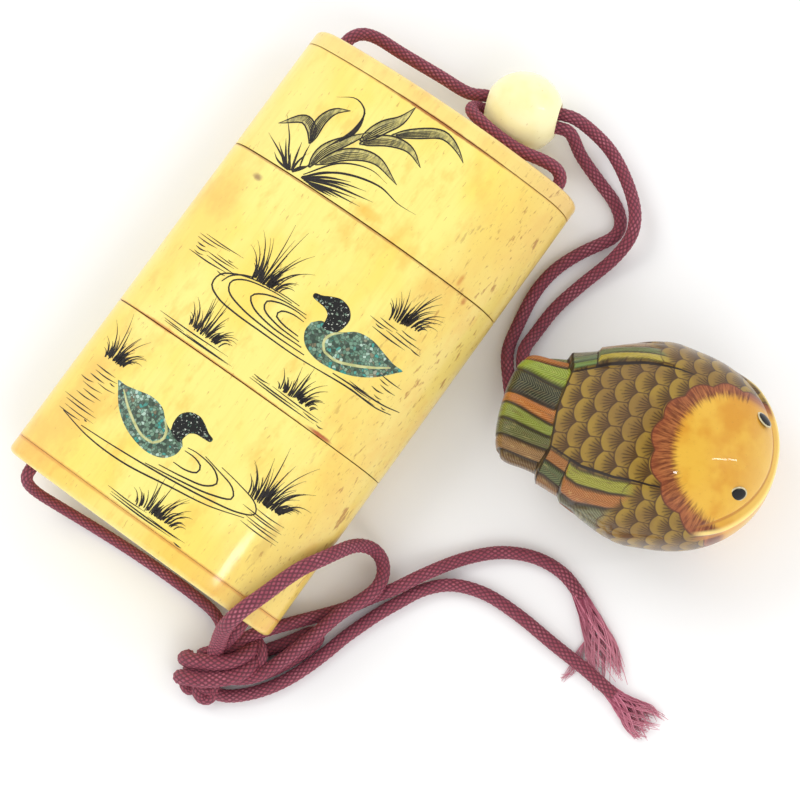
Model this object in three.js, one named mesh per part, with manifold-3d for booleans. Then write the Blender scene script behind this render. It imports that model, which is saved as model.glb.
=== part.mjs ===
// Inro: a stacked bone case with its cord, its sliding bead and its carved bird toggle, lying on their backs.
// Millimetres, +Z up. The case lies on its back at the origin: +Y runs along it towards the lid, +X across it.
import * as THREE from 'three';
import { mergeVertices } from 'three/addons/utils/BufferGeometryUtils.js';
import Module from 'manifold-3d';

const wasm = await Module();
wasm.setup();

// Case sizes
const caseWidth = 50.2;
const caseThickness = 18.0;
const caseSideRadius = 6.0;
const backFlatDepth = 0.3;
const topPlateThickness = 2.9;
const lidLength = 19.8;
const middleLength = 30.7;
const bottomLength = 26.0;
const bottomPlateThickness = 3.1;
const plateEdgeRound = 1.0;
const seamGap = 0.3;

// Lips and compartments
const lipHalfWidth = 18.0;
const lipHalfThickness = 6.3;
const lipCornerRadius = 4.0;
const lipWall = 1.1;
const lipHeight = 3.5;
const lipClearance = 0.3;
const lipRoot = 1.0;
const floorThickness = 1.8;

// Cord and its channels
const cordDiameter = 2.0;
const channelClearance = 0.4;
const channelSpacing = 41.2;

// Bead
const beadDiameter = 12.8;
const beadBore = 4.8;
const beadPlace = [8.75, 49.5];
const beadTurn = THREE.MathUtils.degToRad(20);

// Bird
const birdLength = 42.7;
const birdWidth = 31.2;
const birdHeight = 24.0;
const birdPlace = [53.84, 15.75];
const birdTurn = THREE.MathUtils.degToRad(19.5);
const birdRoll = THREE.MathUtils.degToRad(-8);
const wingRise = 1.2;
const wingTipRise = 0.6;
const featherStep = 0.6;
const featherGroove = 0.5;
const grooveWidth = 0.5;
const billRise = 0.6;
const billHeight = 14.6;
const billThickness = 1.3;
const eyeDiameter = 2.5;
const cordHoleDiameter = 4.8;

// Colours and finishes
const bone = { color: 0xf3e08a, roughness: 0.32, metalness: 0 };
const honeyBone = { color: 0xf0cc72, roughness: 0.32, metalness: 0 };
const paleBone = { color: 0xf7f0c4, roughness: 0.38, metalness: 0 };
const lacqueredNut = { color: 0xb39a54, roughness: 0.2, metalness: 0 };
const burgundyCord = { color: 0x7d2a40, roughness: 0.85, metalness: 0 };

// Values worked out from the sizes
const caseLength = topPlateThickness + lidLength + middleLength + bottomLength + bottomPlateThickness;
const outerHalfThickness = (caseThickness + backFlatDepth) / 2;
const middleHeight = outerHalfThickness - backFlatDepth;
const cordRadius = cordDiameter / 2;
const channelRadius = cordRadius + channelClearance;
const channelX = channelSpacing / 2;
const halfGap = seamGap / 2;
const lidEnd = caseLength / 2 - topPlateThickness;
const lidSeam = lidEnd - lidLength;
const middleSeam = lidSeam - middleLength;
const bottomEnd = middleSeam - bottomLength;

// Joining and cutting
function solid(geometry) {
  const plain = geometry.index ? geometry.toNonIndexed() : geometry;
  plain.deleteAttribute('normal');
  plain.deleteAttribute('uv');
  const merged = mergeVertices(plain, 1e-4);
  return new wasm.Manifold(new wasm.Mesh({
    numProp: 3,
    vertProperties: new Float32Array(merged.attributes.position.array),
    triVerts: new Uint32Array(merged.index.array),
  }));
}

function geometryOf(body) {
  const mesh = body.getMesh();
  const geometry = new THREE.BufferGeometry();
  geometry.setAttribute('position', new THREE.BufferAttribute(new Float32Array(mesh.vertProperties), 3));
  geometry.setIndex(new THREE.BufferAttribute(new Uint32Array(mesh.triVerts), 1));
  return geometry;
}

function node(name, geometry, finish) {
  const mesh = new THREE.Mesh(geometry, new THREE.MeshStandardMaterial(finish));
  mesh.name = name;
  return mesh;
}

// Case

// The outline across the case: two shallow arcs that run into two round sides.
function roundedOutline(halfWidth, halfThickness, sideRadius) {
  const side = Math.min(sideRadius, 0.9 * halfThickness);
  const reach = halfWidth - side;
  const face = (reach ** 2 + halfThickness ** 2 - side ** 2) / (2 * (halfThickness - side));
  const lean = Math.asin(reach / (face - side));
  const quarter = Math.PI / 2;
  const outline = new THREE.Shape();
  outline.absarc(0, halfThickness - face, face, quarter + lean, quarter - lean, true);
  outline.absarc(reach, 0, side, quarter - lean, lean - quarter, true);
  outline.absarc(0, face - halfThickness, face, lean - quarter, -quarter - lean, true);
  outline.absarc(-reach, 0, side, -quarter - lean, -3 * quarter + lean, true);
  return outline;
}

function block(outline, low, high, round = 0) {
  const geometry = new THREE.ExtrudeGeometry(outline, {
    depth: high - low - 2 * round,
    curveSegments: 6,
    bevelEnabled: round > 0,
    bevelThickness: round,
    bevelSize: round,
    bevelOffset: -round,
    bevelSegments: 2,
  });
  geometry.rotateX(Math.PI / 2);
  geometry.translate(0, high - round, middleHeight);
  return solid(geometry);
}

const outerOutline = roundedOutline(caseWidth / 2, outerHalfThickness, caseSideRadius);
const lipOutline = roundedOutline(lipHalfWidth, lipHalfThickness, lipCornerRadius);
const hollowOutline = roundedOutline(
  lipHalfWidth - lipWall, lipHalfThickness - lipWall, lipCornerRadius - lipWall,
);
const socketOutline = roundedOutline(
  lipHalfWidth + lipClearance, lipHalfThickness + lipClearance, lipCornerRadius + lipClearance,
);

function belowTheBack() {
  const slab = new THREE.BoxGeometry(2 * caseWidth, 2 * caseLength, caseThickness);
  slab.translate(0, 0, -caseThickness / 2);
  return solid(slab);
}

function cordChannels(body) {
  let drilled = body;
  for (const side of [-1, 1]) {
    const channel = new THREE.CylinderGeometry(channelRadius, channelRadius, 2 * caseLength, 12);
    channel.translate(side * channelX, 0, middleHeight);
    drilled = drilled.subtract(solid(channel));
  }
  return drilled;
}

function finishedSection(body) {
  return geometryOf(cordChannels(body.subtract(belowTheBack())));
}

function lid() {
  const shell = block(outerOutline, lidSeam + halfGap, lidEnd - halfGap);
  return finishedSection(shell.subtract(block(socketOutline, lidSeam - 1, lidEnd + 1)));
}

function middleSection() {
  const socketDepth = lipHeight + lipClearance;
  const floor = middleSeam + socketDepth + floorThickness;
  const lipTop = lidSeam + lipHeight;
  const shell = block(outerOutline, middleSeam + halfGap, lidSeam - halfGap)
    .add(block(lipOutline, lidSeam - lipRoot, lipTop));
  return finishedSection(shell
    .subtract(block(hollowOutline, floor, lipTop + 1))
    .subtract(block(socketOutline, middleSeam - 1, middleSeam + socketDepth)));
}

function bottomSection() {
  const lipTop = middleSeam + lipHeight;
  const shell = block(outerOutline, bottomEnd + halfGap, middleSeam - halfGap)
    .add(block(lipOutline, middleSeam - lipRoot, lipTop));
  return finishedSection(shell.subtract(block(hollowOutline, bottomEnd - 1, lipTop + 1)));
}

// An end plate is rounded all round its outer edge and flat where it meets its section.
function endPlate(seam, end) {
  const outward = Math.sign(end);
  const inner = seam + outward * halfGap;
  const buried = seam - outward * 2 * plateEdgeRound;
  const whole = block(outerOutline, Math.min(buried, end), Math.max(buried, end), plateEdgeRound);
  const keep = block(outerOutline, Math.min(inner, end), Math.max(inner, end));
  return finishedSection(whole.intersect(keep));
}

// Bead

function bead() {
  const radius = beadDiameter / 2;
  const bore = beadBore / 2;
  const mouth = Math.asin(bore / radius);
  const profile = [];
  const steps = 10;
  for (let i = 0; i <= steps; i += 1) {
    const angle = mouth + (Math.PI - 2 * mouth) * (i / steps);
    profile.push(new THREE.Vector2(radius * Math.sin(angle), -radius * Math.cos(angle)));
  }
  profile.push(profile[0].clone());
  const geometry = new THREE.LatheGeometry(profile, 18);
  geometry.rotateZ(-Math.PI / 2);
  return geometryOf(solid(geometry));
}

// Bird

const birdHalf = birdLength / 2;
const waist = 0.07 * birdLength;
const bellyHeight = 0.49 * birdHeight;
const bellyDepth = 0.51 * birdHeight;
const roundness = 0.87;
const tailBlunt = 0.17 * birdLength;
const wingLow = 0.22 * birdHeight;

// Where each groove between two tail feathers lies across the body, at its root and at its end.
const featherLines = [
  [0.365, 0.375], [0.169, 0.286], [-0.014, 0.066], [-0.14, -0.019], [-0.234, -0.155], [-0.333, -0.286],
];

function smooth(from, to, value) {
  return THREE.MathUtils.smoothstep(value, from, to);
}

// Place along the body, half width and half height there, from the tail at -1 to the head at +1.
function bodySection(lean) {
  if (lean >= 0) {
    const round = Math.sqrt(Math.max(0, 1 - lean ** 2.25));
    const x = waist + (birdHalf - waist) * lean;
    return { x, half: (birdWidth / 2) * round, high: bellyDepth * round };
  }
  const x = waist + (birdHalf + waist) * lean;
  const fullness = 1 - smooth(0, 1, (waist - x) / (0.93 * birdHalf));
  const blunt = Math.max(0, (-x - (birdHalf - tailBlunt)) / tailBlunt);
  const end = Math.sqrt(Math.max(0, 1 - Math.min(1, blunt) ** 6));
  const underWing = wingRise * smooth(0, 0.4, -lean);
  return {
    x,
    half: (birdWidth / 2 - underWing) * (0.66 + 0.34 * fullness) * end,
    high: bellyDepth * (0.44 + 0.56 * fullness) * end,
  };
}

function squared(value) {
  return Math.sign(value) * Math.abs(value) ** roundness;
}

// The bird's skin, moved outwards by rise, which may depend on the place along the body.
function birdSkin(rise, bill = 0) {
  const around = 30;
  const along = 22;
  const geometry = new THREE.SphereGeometry(1, around, along);
  const { position, uv } = geometry.attributes;
  for (let i = 0; i < position.count; i += 1) {
    const polar = Math.PI * Math.round((1 - uv.getY(i)) * along) / along;
    const offPole = Math.sin(polar) < 1e-6 ? 0 : 1;
    const step = offPole * Math.round(uv.getX(i) * around);
    const azimuth = (2 * Math.PI * (step % around)) / around;
    const section = bodySection(Math.cos(polar));
    const out = rise(section.x) * Math.min(1, 3 * Math.sin(polar));
    const z = (section.high + out) * squared(Math.sin(azimuth));
    const fromBill = (bellyHeight + z - billHeight) / billThickness;
    const ridge = bill * Math.exp(-(fromBill ** 2)) * smooth(0.5, 0.8, section.x / birdHalf);
    position.setXYZ(
      i,
      section.x + ridge * offPole * 0.6,
      offPole * (section.half + out + ridge) * squared(Math.cos(azimuth)),
      bellyHeight + offPole * z,
    );
  }
  return solid(geometry);
}

// A region of the bird seen from above, given as shares of half its length, cut straight down through it.
function plan(corners) {
  const outline = new THREE.Shape(corners.map(([along, across]) => (
    new THREE.Vector2(along * birdHalf, across * birdHalf)
  )));
  const geometry = new THREE.ExtrudeGeometry(outline, { depth: 2 * birdHeight, bevelEnabled: false });
  geometry.translate(0, 0, wingLow);
  return solid(geometry);
}

function mirrored(corners, side) {
  return corners.map(([along, across]) => [along, side * across]);
}

const wingInner = [[-0.32, 0.39], [-0.08, 0.435], [0.17, 0.44], [0.4, 0.42]];
const wingFront = [[0.7, 0.6], [0.7, 0.95]];

// Each wing lies raised on the flank in two steps, and dies away into the shoulder.
function wings(body) {
  const fade = (x) => 1 - smooth(-0.3, 0.32, x / birdHalf);
  const full = birdSkin((x) => (wingRise + 0.3) * fade(x) - 0.3);
  const tip = birdSkin((x) => (wingTipRise + 0.3) * fade(x) - 0.3);
  const fullPlan = [[-0.4, 0.355], ...wingInner, ...wingFront, [-0.46, 0.95], [-0.44, 0.58]];
  const tipPlan = [[-0.56, 0.29], ...wingInner, ...wingFront, [-0.66, 0.95], [-0.64, 0.5]];
  let winged = body;
  for (const side of [-1, 1]) {
    winged = winged
      .add(full.intersect(plan(mirrored(fullPlan, side))))
      .add(tip.intersect(plan(mirrored(tipPlan, side))));
  }
  return winged;
}

// The tail is a step below the back and is grooved into feathers that fan out a little.
function tail(body) {
  const edge = 1.1;
  const region = plan([
    [-0.6, 0], [-0.57, -0.3], [-0.66, -0.6], [-edge, -0.7], [-edge, 0.7], [-0.66, 0.6], [-0.57, 0.3],
  ]);
  let cut = region.subtract(birdSkin(() => -featherStep));
  const grooveFloor = birdSkin(() => -featherStep - featherGroove);
  const half = grooveWidth / 2 / birdHalf;
  for (const [root, end] of featherLines) {
    const groove = plan([
      [-0.62, root - half], [-0.62, root + half], [-edge, end + half], [-edge, end - half],
    ]);
    cut = cut.add(groove.subtract(grooveFloor));
  }
  return body.subtract(cut);
}

function eyes(body) {
  const radius = eyeDiameter / 2;
  let seeing = body;
  for (const side of [-1, 1]) {
    const section = bodySection(0.76);
    const azimuth = Math.PI / 2 - side * THREE.MathUtils.degToRad(33);
    const eye = new THREE.SphereGeometry(radius, 10, 6);
    eye.scale(1, 1, 0.55);
    eye.applyQuaternion(new THREE.Quaternion().setFromUnitVectors(
      new THREE.Vector3(0, 0, 1), new THREE.Vector3(0.5, side * 0.4, 0.77).normalize(),
    ));
    eye.translate(
      section.x,
      section.half * squared(Math.cos(azimuth)),
      bellyHeight + section.high * squared(Math.sin(azimuth)),
    );
    seeing = seeing.add(solid(eye));
  }
  return seeing;
}

// One hole for both strands slants up into the body from under the tail.
function cordHole(body) {
  const hole = new THREE.CylinderGeometry(cordHoleDiameter / 2, cordHoleDiameter / 2, 0.3 * birdLength, 12);
  hole.rotateZ(-Math.PI / 2);
  hole.rotateY(THREE.MathUtils.degToRad(-25));
  hole.translate(-0.7 * birdHalf, 0.086 * birdHalf, 0.23 * birdHeight);
  return body.subtract(solid(hole));
}

function bird() {
  const carved = cordHole(eyes(wings(tail(birdSkin(() => 0, billRise)))));
  const geometry = geometryOf(carved);
  geometry.translate(0, 0, -bellyHeight);
  geometry.rotateX(birdRoll);
  geometry.translate(0, 0, bellyHeight);
  const floor = new THREE.BoxGeometry(4 * birdLength, 4 * birdLength, birdHeight);
  floor.translate(0, 0, -birdHeight / 2);
  return geometryOf(solid(geometry).subtract(solid(floor)));
}

// Cord

function tube(points, steps) {
  const outline = new THREE.Shape();
  const sides = 8;
  for (let i = 0; i < sides; i += 1) {
    const angle = ((i + 0.5) * 2 * Math.PI) / sides;
    const corner = [cordRadius * Math.cos(angle), cordRadius * Math.sin(angle)];
    if (i === 0) outline.moveTo(...corner);
    else outline.lineTo(...corner);
  }
  const path = new THREE.CatmullRomCurve3(points.map((point) => new THREE.Vector3(...point)));
  return new THREE.ExtrudeGeometry(outline, { steps, extrudePath: path, bevelEnabled: false });
}

// A point given along, across and above the bead's bore.
function inBead(along, across) {
  return [
    beadPlace[0] + along * Math.cos(beadTurn) - across * Math.sin(beadTurn),
    beadPlace[1] + along * Math.sin(beadTurn) + across * Math.cos(beadTurn),
    beadDiameter / 2,
  ];
}

const strandApart = 1.15;
const beadMouth = 0.46 * beadDiameter;
const caseMouth = caseLength / 2 + halfGap;
const straightLead = 1.6;

// The left strand goes from the bird round the outside, through the bead and down the left channel.
const leftToggle = [
  [39.1, 12.8, 5.7], [37.7, 12.5, 5.0], [35.9, 13.0, 4.1], [34.1, 14.3, 3.2], [32.3, 16.0, 2.5],
  [30.5, 18.8, 2.0], [30.4, 22.0, 1.2], [30.6, 27.2, 1.1], [31.8, 32.6, 1.1], [33.7, 39.2, 2.0],
  [34.0, 43.4, 3.6], [32.6, 46.4, 3.8], [29.2, 49.6, 3.4], [23.5, 52.8, 3.6], [18.4, 53.6, 4.9],
];
const leftTop = [
  [-0.2, 47.5, 5.0], [-6.0, 47.3, 4.4], [-13.5, 46.7, 5.2], [-17.8, 46.1, 7.0], [-19.7, 45.0, 8.1],
];
const leftTail = [
  [-20.6, -42.9, 8.6], [-19.7, -43.9, 6.9], [-17.9, -44.0, 4.8], [-14.1, -43.9, 2.5],
  [-7.0, -43.6, 1.2], [0.1, -43.0, 1.1], [7.5, -42.6, 1.1], [12.8, -42.8, 1.4], [16.2, -44.1, 2.0],
];

// The right strand keeps to the inside, passes over the bead's shoulder and goes down the right channel.
const rightToggle = [
  [39.9, 10.6, 5.7], [38.4, 10.1, 5.1], [36.6, 9.6, 4.3], [34.6, 10.3, 3.6], [32.8, 11.9, 3.1],
  [31.4, 13.5, 2.7], [29.8, 15.3, 2.1], [28.3, 17.6, 1.3], [27.3, 21.9, 1.1], [26.5, 27.5, 1.1],
  [27.0, 32.4, 1.1], [28.8, 37.0, 1.1], [30.7, 40.3, 1.1], [31.7, 42.4, 1.1], [31.3, 44.5, 1.1],
  [28.6, 46.7, 1.1], [24.9, 48.0, 1.4], [19.9, 49.6, 3.2],
];
const rightTop = [
  [2.0, 45.2, 7.6], [2.9, 44.8, 9.4], [5.2, 44.2, 11.1], [8.0, 43.3, 11.5], [11.5, 43.0, 11.2],
  [16.8, 43.9, 10.2], [19.6, 43.7, 9.3],
];
const rightTail = [[20.6, -42.4, 8.6], [21.2, -43.4, 7.0], [21.6, -43.9, 5.6]];

const loop = [
  [19.2, -45.6, 7.5], [19.2, -44.2, 12.2], [19.6, -42.1, 15.9], [20.4, -39.4, 17.3],
  [21.4, -36.2, 17.3], [22.5, -32.8, 16.5], [23.9, -29.7, 15.7], [25.4, -26.7, 13.8],
  [26.4, -24.2, 10.2], [27.1, -22.5, 6.8], [28.2, -21.4, 4.0], [29.7, -20.9, 2.2],
  [31.6, -21.3, 1.7], [33.1, -22.9, 2.4], [33.6, -24.9, 3.8], [33.2, -27.4, 4.3],
  [32.0, -30.0, 4.0], [31.0, -33.0, 3.5], [30.3, -36.2, 3.5], [29.6, -39.1, 3.5], [29.0, -42.2, 3.4],
  [28.2, -45.0, 3.4],
];
const shortEnd = [
  [22.0, -41.8, 1.8], [24.8, -37.9, 1.2], [27.6, -34.9, 1.1], [30.2, -31.9, 1.1], [32.3, -29.2, 1.1],
  [33.7, -26.8, 1.2], [35.8, -23.9, 2.4], [37.4, -21.0, 2.8], [39.0, -18.1, 2.2], [40.6, -15.4, 1.3],
  [42.1, -13.3, 1.1], [46.0, -9.4, 1.1], [51.0, -6.9, 1.1], [56.0, -6.5, 1.1], [60.7, -8.1, 1.1],
  [65.0, -11.2, 1.1],
];
const longEnd = [
  [26.1, -50.8, 1.1], [28.3, -48.3, 1.1], [30.3, -45.0, 1.1], [31.8, -41.4, 1.1], [33.0, -37.6, 1.1],
  [33.8, -34.5, 1.1], [34.9, -31.3, 1.1], [36.2, -27.9, 1.1], [37.7, -24.7, 1.1], [39.3, -21.5, 1.1],
  [42.5, -18.1, 1.1], [47.6, -16.1, 1.1], [54.0, -15.8, 1.1], [60.8, -16.3, 1.1], [67.9, -16.7, 1.1],
  [76.0, -17.7, 1.1],
];

function cordNodes() {
  const nodes = [];
  const lay = (name, points, steps) => {
    nodes.push(node(`cord_${name}`, tube(points, steps), burgundyCord));
  };
  const strands = [
    { name: 'left', side: -1, toggle: leftToggle, top: leftTop, tail: leftTail, tailSteps: 9 },
    { name: 'right', side: 1, toggle: rightToggle, top: rightTop, tail: rightTail, tailSteps: 2 },
  ];
  const outside = beadMouth + seamGap;
  for (const { name, side, toggle, top, tail: end, tailSteps } of strands) {
    const x = side * channelX;
    const across = -side * strandApart;
    const toggleSide = [inBead(outside + straightLead, across), inBead(outside, across)];
    const caseSide = [inBead(-outside, across), inBead(-outside - seamGap, across)];
    const mouth = [[x, caseMouth + straightLead, middleHeight], [x, caseMouth, middleHeight]];
    const inChannel = caseMouth - seamGap;
    const inTail = caseMouth + seamGap;
    lay(`${name}_toggle`, [...toggle, ...toggleSide], 11);
    lay(`${name}_bead`, [inBead(beadMouth, across), inBead(-beadMouth, across)], 1);
    lay(`${name}_top`, [...caseSide, ...top, ...mouth], 6);
    lay(`${name}_channel`, [[x, inChannel, middleHeight], [x, -inChannel, middleHeight]], 1);
    lay(`${name}_tail`, [[x, -caseMouth, middleHeight], [x, -inTail, middleHeight], ...end], tailSteps);
  }
  lay('loop', loop, 13);
  lay('short_end', shortEnd, 10);
  lay('long_end', longEnd, 10);
  return nodes;
}

// Knot: two bands drawn over a packed core, with one small ear pulled tight.
const knotPlace = [20.9, -49.9];

function inKnot([right, up, z]) {
  return [knotPlace[0] + 0.8 * right - 0.6 * up, knotPlace[1] + 0.6 * right + 0.8 * up, z];
}

const knotBands = [
  [
    [-5.9, 1.4, 1.3], [-6.1, 1.6, 3.4], [-4.6, 1.8, 5.1], [-1.0, 1.6, 5.9],
    [2.6, 1.8, 5.6], [5.2, 2.9, 4.3], [6.6, 4.2, 2.6],
  ],
  [
    [-6.6, -1.6, 1.3], [-7.0, -1.5, 3.0], [-5.4, -1.4, 4.6], [-1.6, -1.7, 5.2],
    [2.4, -1.3, 5.0], [5.6, -0.2, 3.9], [6.8, 1.6, 2.4],
  ],
];
const knotEar = [
  [22.4, -46.9, 1.8], [24.4, -43.9, 1.15], [26.4, -41.2, 1.15], [28.1, -38.4, 1.15],
  [29.4, -36.4, 1.15], [30.6, -36.3, 1.15], [30.6, -38.0, 1.15], [29.6, -41.0, 1.15],
  [28.2, -44.0, 1.15], [26.4, -46.8, 1.15], [24.3, -48.6, 1.8],
];

function knot() {
  const core = new THREE.SphereGeometry(1, 12, 6);
  core.scale(6.4, 4.0, 2.9);
  core.rotateZ(Math.atan2(0.6, 0.8));
  core.translate(...inKnot([-0.4, 0, 2.95]));
  let body = solid(core).add(solid(tube(knotEar, 9)));
  for (const band of knotBands) body = body.add(solid(tube(band.map(inKnot), 8)));
  return geometryOf(body);
}

// The whole inro
const inro = new THREE.Group();
inro.add(
  node('case_top_plate', endPlate(lidEnd, caseLength / 2), bone),
  node('case_lid', lid(), bone),
  node('case_middle', middleSection(), bone),
  node('case_bottom', bottomSection(), bone),
  node('case_bottom_plate', endPlate(bottomEnd, -caseLength / 2), honeyBone),
);

const beadNode = node('ojime_bead', bead(), paleBone);
beadNode.position.set(beadPlace[0], beadPlace[1], beadDiameter / 2);
beadNode.rotation.z = beadTurn;

const birdNode = node('netsuke_bird', bird(), lacqueredNut);
birdNode.position.set(birdPlace[0], birdPlace[1], 0);
birdNode.rotation.z = birdTurn;

inro.add(beadNode, birdNode, ...cordNodes(), node('cord_knot', knot(), burgundyCord));

export default inro;
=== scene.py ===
"""The looks of an inro: a stacked bone case with engraved waterfowl, its braided cord, its sliding bead and
its carved bird toggle, lying on a pale floor. Sizes are in millimetres, turned into metres as a piece is made.
"""

import math
import random

import bmesh
import bpy
import numpy as np
from mathutils import Matrix, Vector


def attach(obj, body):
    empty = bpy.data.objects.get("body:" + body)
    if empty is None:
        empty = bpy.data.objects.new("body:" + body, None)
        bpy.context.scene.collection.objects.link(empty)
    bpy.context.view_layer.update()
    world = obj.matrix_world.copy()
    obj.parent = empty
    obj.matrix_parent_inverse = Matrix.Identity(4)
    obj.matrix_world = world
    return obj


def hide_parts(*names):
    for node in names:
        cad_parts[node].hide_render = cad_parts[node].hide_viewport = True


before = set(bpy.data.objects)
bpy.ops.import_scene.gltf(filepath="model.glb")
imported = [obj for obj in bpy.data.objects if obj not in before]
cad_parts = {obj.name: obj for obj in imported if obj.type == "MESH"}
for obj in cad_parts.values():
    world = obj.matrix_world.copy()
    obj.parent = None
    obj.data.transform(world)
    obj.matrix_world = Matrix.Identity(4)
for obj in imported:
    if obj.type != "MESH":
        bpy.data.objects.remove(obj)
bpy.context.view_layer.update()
mm = 0.001

# Sizes shared with the solids
case_width = 50.2
case_thickness = 18.0
case_side_radius = 6.0
back_flat_depth = 0.3
outer_half_thickness = (case_thickness + back_flat_depth) / 2
middle_height = outer_half_thickness - back_flat_depth
case_end = 41.25
lid_end = 38.35
lid_seam = 18.55
middle_seam = -12.15
bottom_end = -38.15
case_mouth = case_end + 0.15
lip_half_width = 18.0
lip_half_thickness = 6.3
lip_corner_radius = 4.0
lip_wall = 1.1
lip_height = 3.5
lip_clearance = 0.3
floor_thickness = 1.8
cord_radius = 1.0
channel_radius = 1.4
channel_x = 20.6
bead_radius = 6.4
bead_bore = 2.4
bead_place = (8.75, 49.5)
bead_turn = math.radians(20)
knot_place = (20.9, -49.9)


# Camera

def photo_camera():
    """The camera that was fitted to the photo's corners: its place and its right, down and forward directions."""
    data = bpy.data.cameras.new("photo_camera")
    data.lens = 103.5
    data.sensor_width = 36
    data.clip_start = 0.02
    camera = bpy.data.objects.new("photo_camera", data)
    right = Vector((0.8096, 0.5830, -0.0686))
    down = Vector((0.5663, -0.8065, -0.1699))
    forward = Vector((-0.1544, 0.0987, -0.9831))
    camera.matrix_world = Matrix((right, -down, -forward)).transposed().to_4x4()
    camera.location = (0.07477, -0.03417, 0.35913)
    bpy.context.scene.collection.objects.link(camera)
    bpy.context.scene.camera = camera


# Making a piece

def piece_from(bm, name, material, smooth_angle=40):
    """A piece made of a finished mesh, smooth but for its edges sharper than an angle in degrees."""
    mesh = bpy.data.meshes.new(name)
    bm.to_mesh(mesh)
    bm.free()
    mesh.materials.append(material)
    mesh.shade_smooth()
    mesh.set_sharp_from_angle(angle=math.radians(smooth_angle))
    piece = bpy.data.objects.new(name, mesh)
    bpy.context.scene.collection.objects.link(piece)
    return piece


def fitted(piece, slot, *nodes):
    """Fits a piece to the frame's one body, in place of the solids that it stands for, which are hidden. The slot is
    not used.
    """
    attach(piece, "root")
    if nodes:
        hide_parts(*nodes)
    return piece


# Cord

def smooth_line(route, spacing):
    """Even points, spacing apart, on the smooth curve through the route's points."""
    points = np.array(route, float)
    points = np.vstack([2 * points[0] - points[1], points, 2 * points[-1] - points[-2]])
    curve = []
    share = np.linspace(0, 1, 24, endpoint=False)[:, None]
    for before, start, end, after in zip(points, points[1:], points[2:], points[3:]):
        lead, span, rest = (max(1e-6, np.linalg.norm(b - a) ** 0.5) for a, b in (
            (before, start), (start, end), (end, after)))
        leave = span * ((start - before) / lead - (end - before) / (lead + span) + (end - start) / span)
        arrive = span * ((end - start) / span - (after - start) / (span + rest) + (after - end) / rest)
        bend = -3 * start + 3 * end - 2 * leave - arrive
        twist = 2 * start - 2 * end + leave + arrive
        curve.append(start + leave * share + bend * share ** 2 + twist * share ** 3)
    curve = np.vstack([*curve, points[-2][None]])
    steps = np.linalg.norm(np.diff(curve, axis=0), axis=1)
    walked = np.concatenate([[0], np.cumsum(steps)])
    count = max(4, round(walked[-1] / spacing))
    even = np.linspace(0, walked[-1], count + 1)
    return np.stack([np.interp(even, walked, curve[:, k]) for k in range(3)], 1), walked[-1]


def across_line(line):
    """Two directions across the line at each of its points, turning as little as they can."""
    along = np.gradient(line, axis=0)
    along /= np.linalg.norm(along, axis=1)[:, None]
    across = np.empty_like(line)
    side = np.cross(along[0], [0.0, 0.0, 1.0] if abs(along[0][2]) < 0.9 else [1.0, 0.0, 0.0])
    for k, ahead in enumerate(along):
        side = side - ahead * (side @ ahead)
        side /= np.linalg.norm(side)
        across[k] = side
    return across, np.cross(along, across)


# Strands of the braid that go each way round it, and the distance along it from one stitch to the next
braid_strands = 9
braid_pitch = 1.1
# Shares of the cord's radius that lie under the stitches and in them
braid_valley = 0.92
braid_height = 0.14
# How finely a cord is made, and how many times its line is smoothed
cord_sides = 48
cord_step = 0.22
bend_easing = 24
# Shares along a cord, and its girth at each: here the same from end to end
as_made = ((0, 1), (1, 1))


def braid_relief(around, walked):
    """How far a stitch of the braid stands out at a share of the way round and a distance along."""
    one = around * braid_strands + walked / braid_pitch
    other = around * braid_strands - walked / braid_pitch
    rows = np.floor(one) + np.floor(other)
    bulge_one = np.abs(np.sin(np.pi * one))
    bulge_other = np.abs(np.sin(np.pi * other))
    over = np.where(rows % 2 < 0.5, bulge_one, bulge_other)
    under = np.where(rows % 2 < 0.5, bulge_other, bulge_one)
    return over * under ** 0.4


def braided_tube(bm, route, radius=cord_radius, snug=as_made):
    """Adds a braided cord along the route. Its UV map holds the share round it and the millimetres along it."""
    line, length = smooth_line(route, cord_step)
    for _ in range(bend_easing):
        line[1:-1] = (line[:-2] + 2 * line[1:-1] + line[2:]) / 4
    first, second = across_line(line)
    uv_layer = bm.loops.layers.uv.get("UVMap") or bm.loops.layers.uv.new("UVMap")
    rings = len(line) - 1
    made = bmesh.ops.create_grid(bm, x_segments=cord_sides, y_segments=rings, size=0.5, calc_uvs=True)["verts"]
    for face in {face for vert in made for face in vert.link_faces}:
        for loop in face.loops:
            loop[uv_layer].uv.y *= length
    around = np.array([vert.co.x for vert in made]) + 0.5
    ring = np.rint((np.array([vert.co.y for vert in made]) + 0.5) * rings).astype(int)
    girth = radius * np.interp(ring / rings, *snug)
    reach = girth * (braid_valley + braid_height * braid_relief(around, ring / rings * length))
    turn = 2 * np.pi * around
    places = line[ring] + (
        reach * np.cos(turn))[:, None] * first[ring] + (reach * np.sin(turn))[:, None] * second[ring]
    for vert, place in zip(made, places * mm):
        vert.co = place
    seam = [vert for vert, share in zip(made, around) if share < 0.001 or share > 0.999]
    bmesh.ops.remove_doubles(bm, verts=seam, dist=1e-6)
    ends = [edge for edge in bm.edges if edge.is_boundary]
    bmesh.ops.holes_fill(bm, edges=ends, sides=0)
    return line, length


def in_bead(along, across):
    """A place at the height of the bead's middle, along its bore and across it."""
    return (
        bead_place[0] + along * math.cos(bead_turn) - across * math.sin(bead_turn),
        bead_place[1] + along * math.sin(bead_turn) + across * math.cos(bead_turn),
        bead_radius,
    )


def in_knot(right, up, height):
    """A place right of the knot's middle and above it, as the photo shows it, at a height over the floor."""
    return (knot_place[0] + 0.8 * right - 0.6 * up, knot_place[1] + 0.6 * right + 0.8 * up, height)


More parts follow.
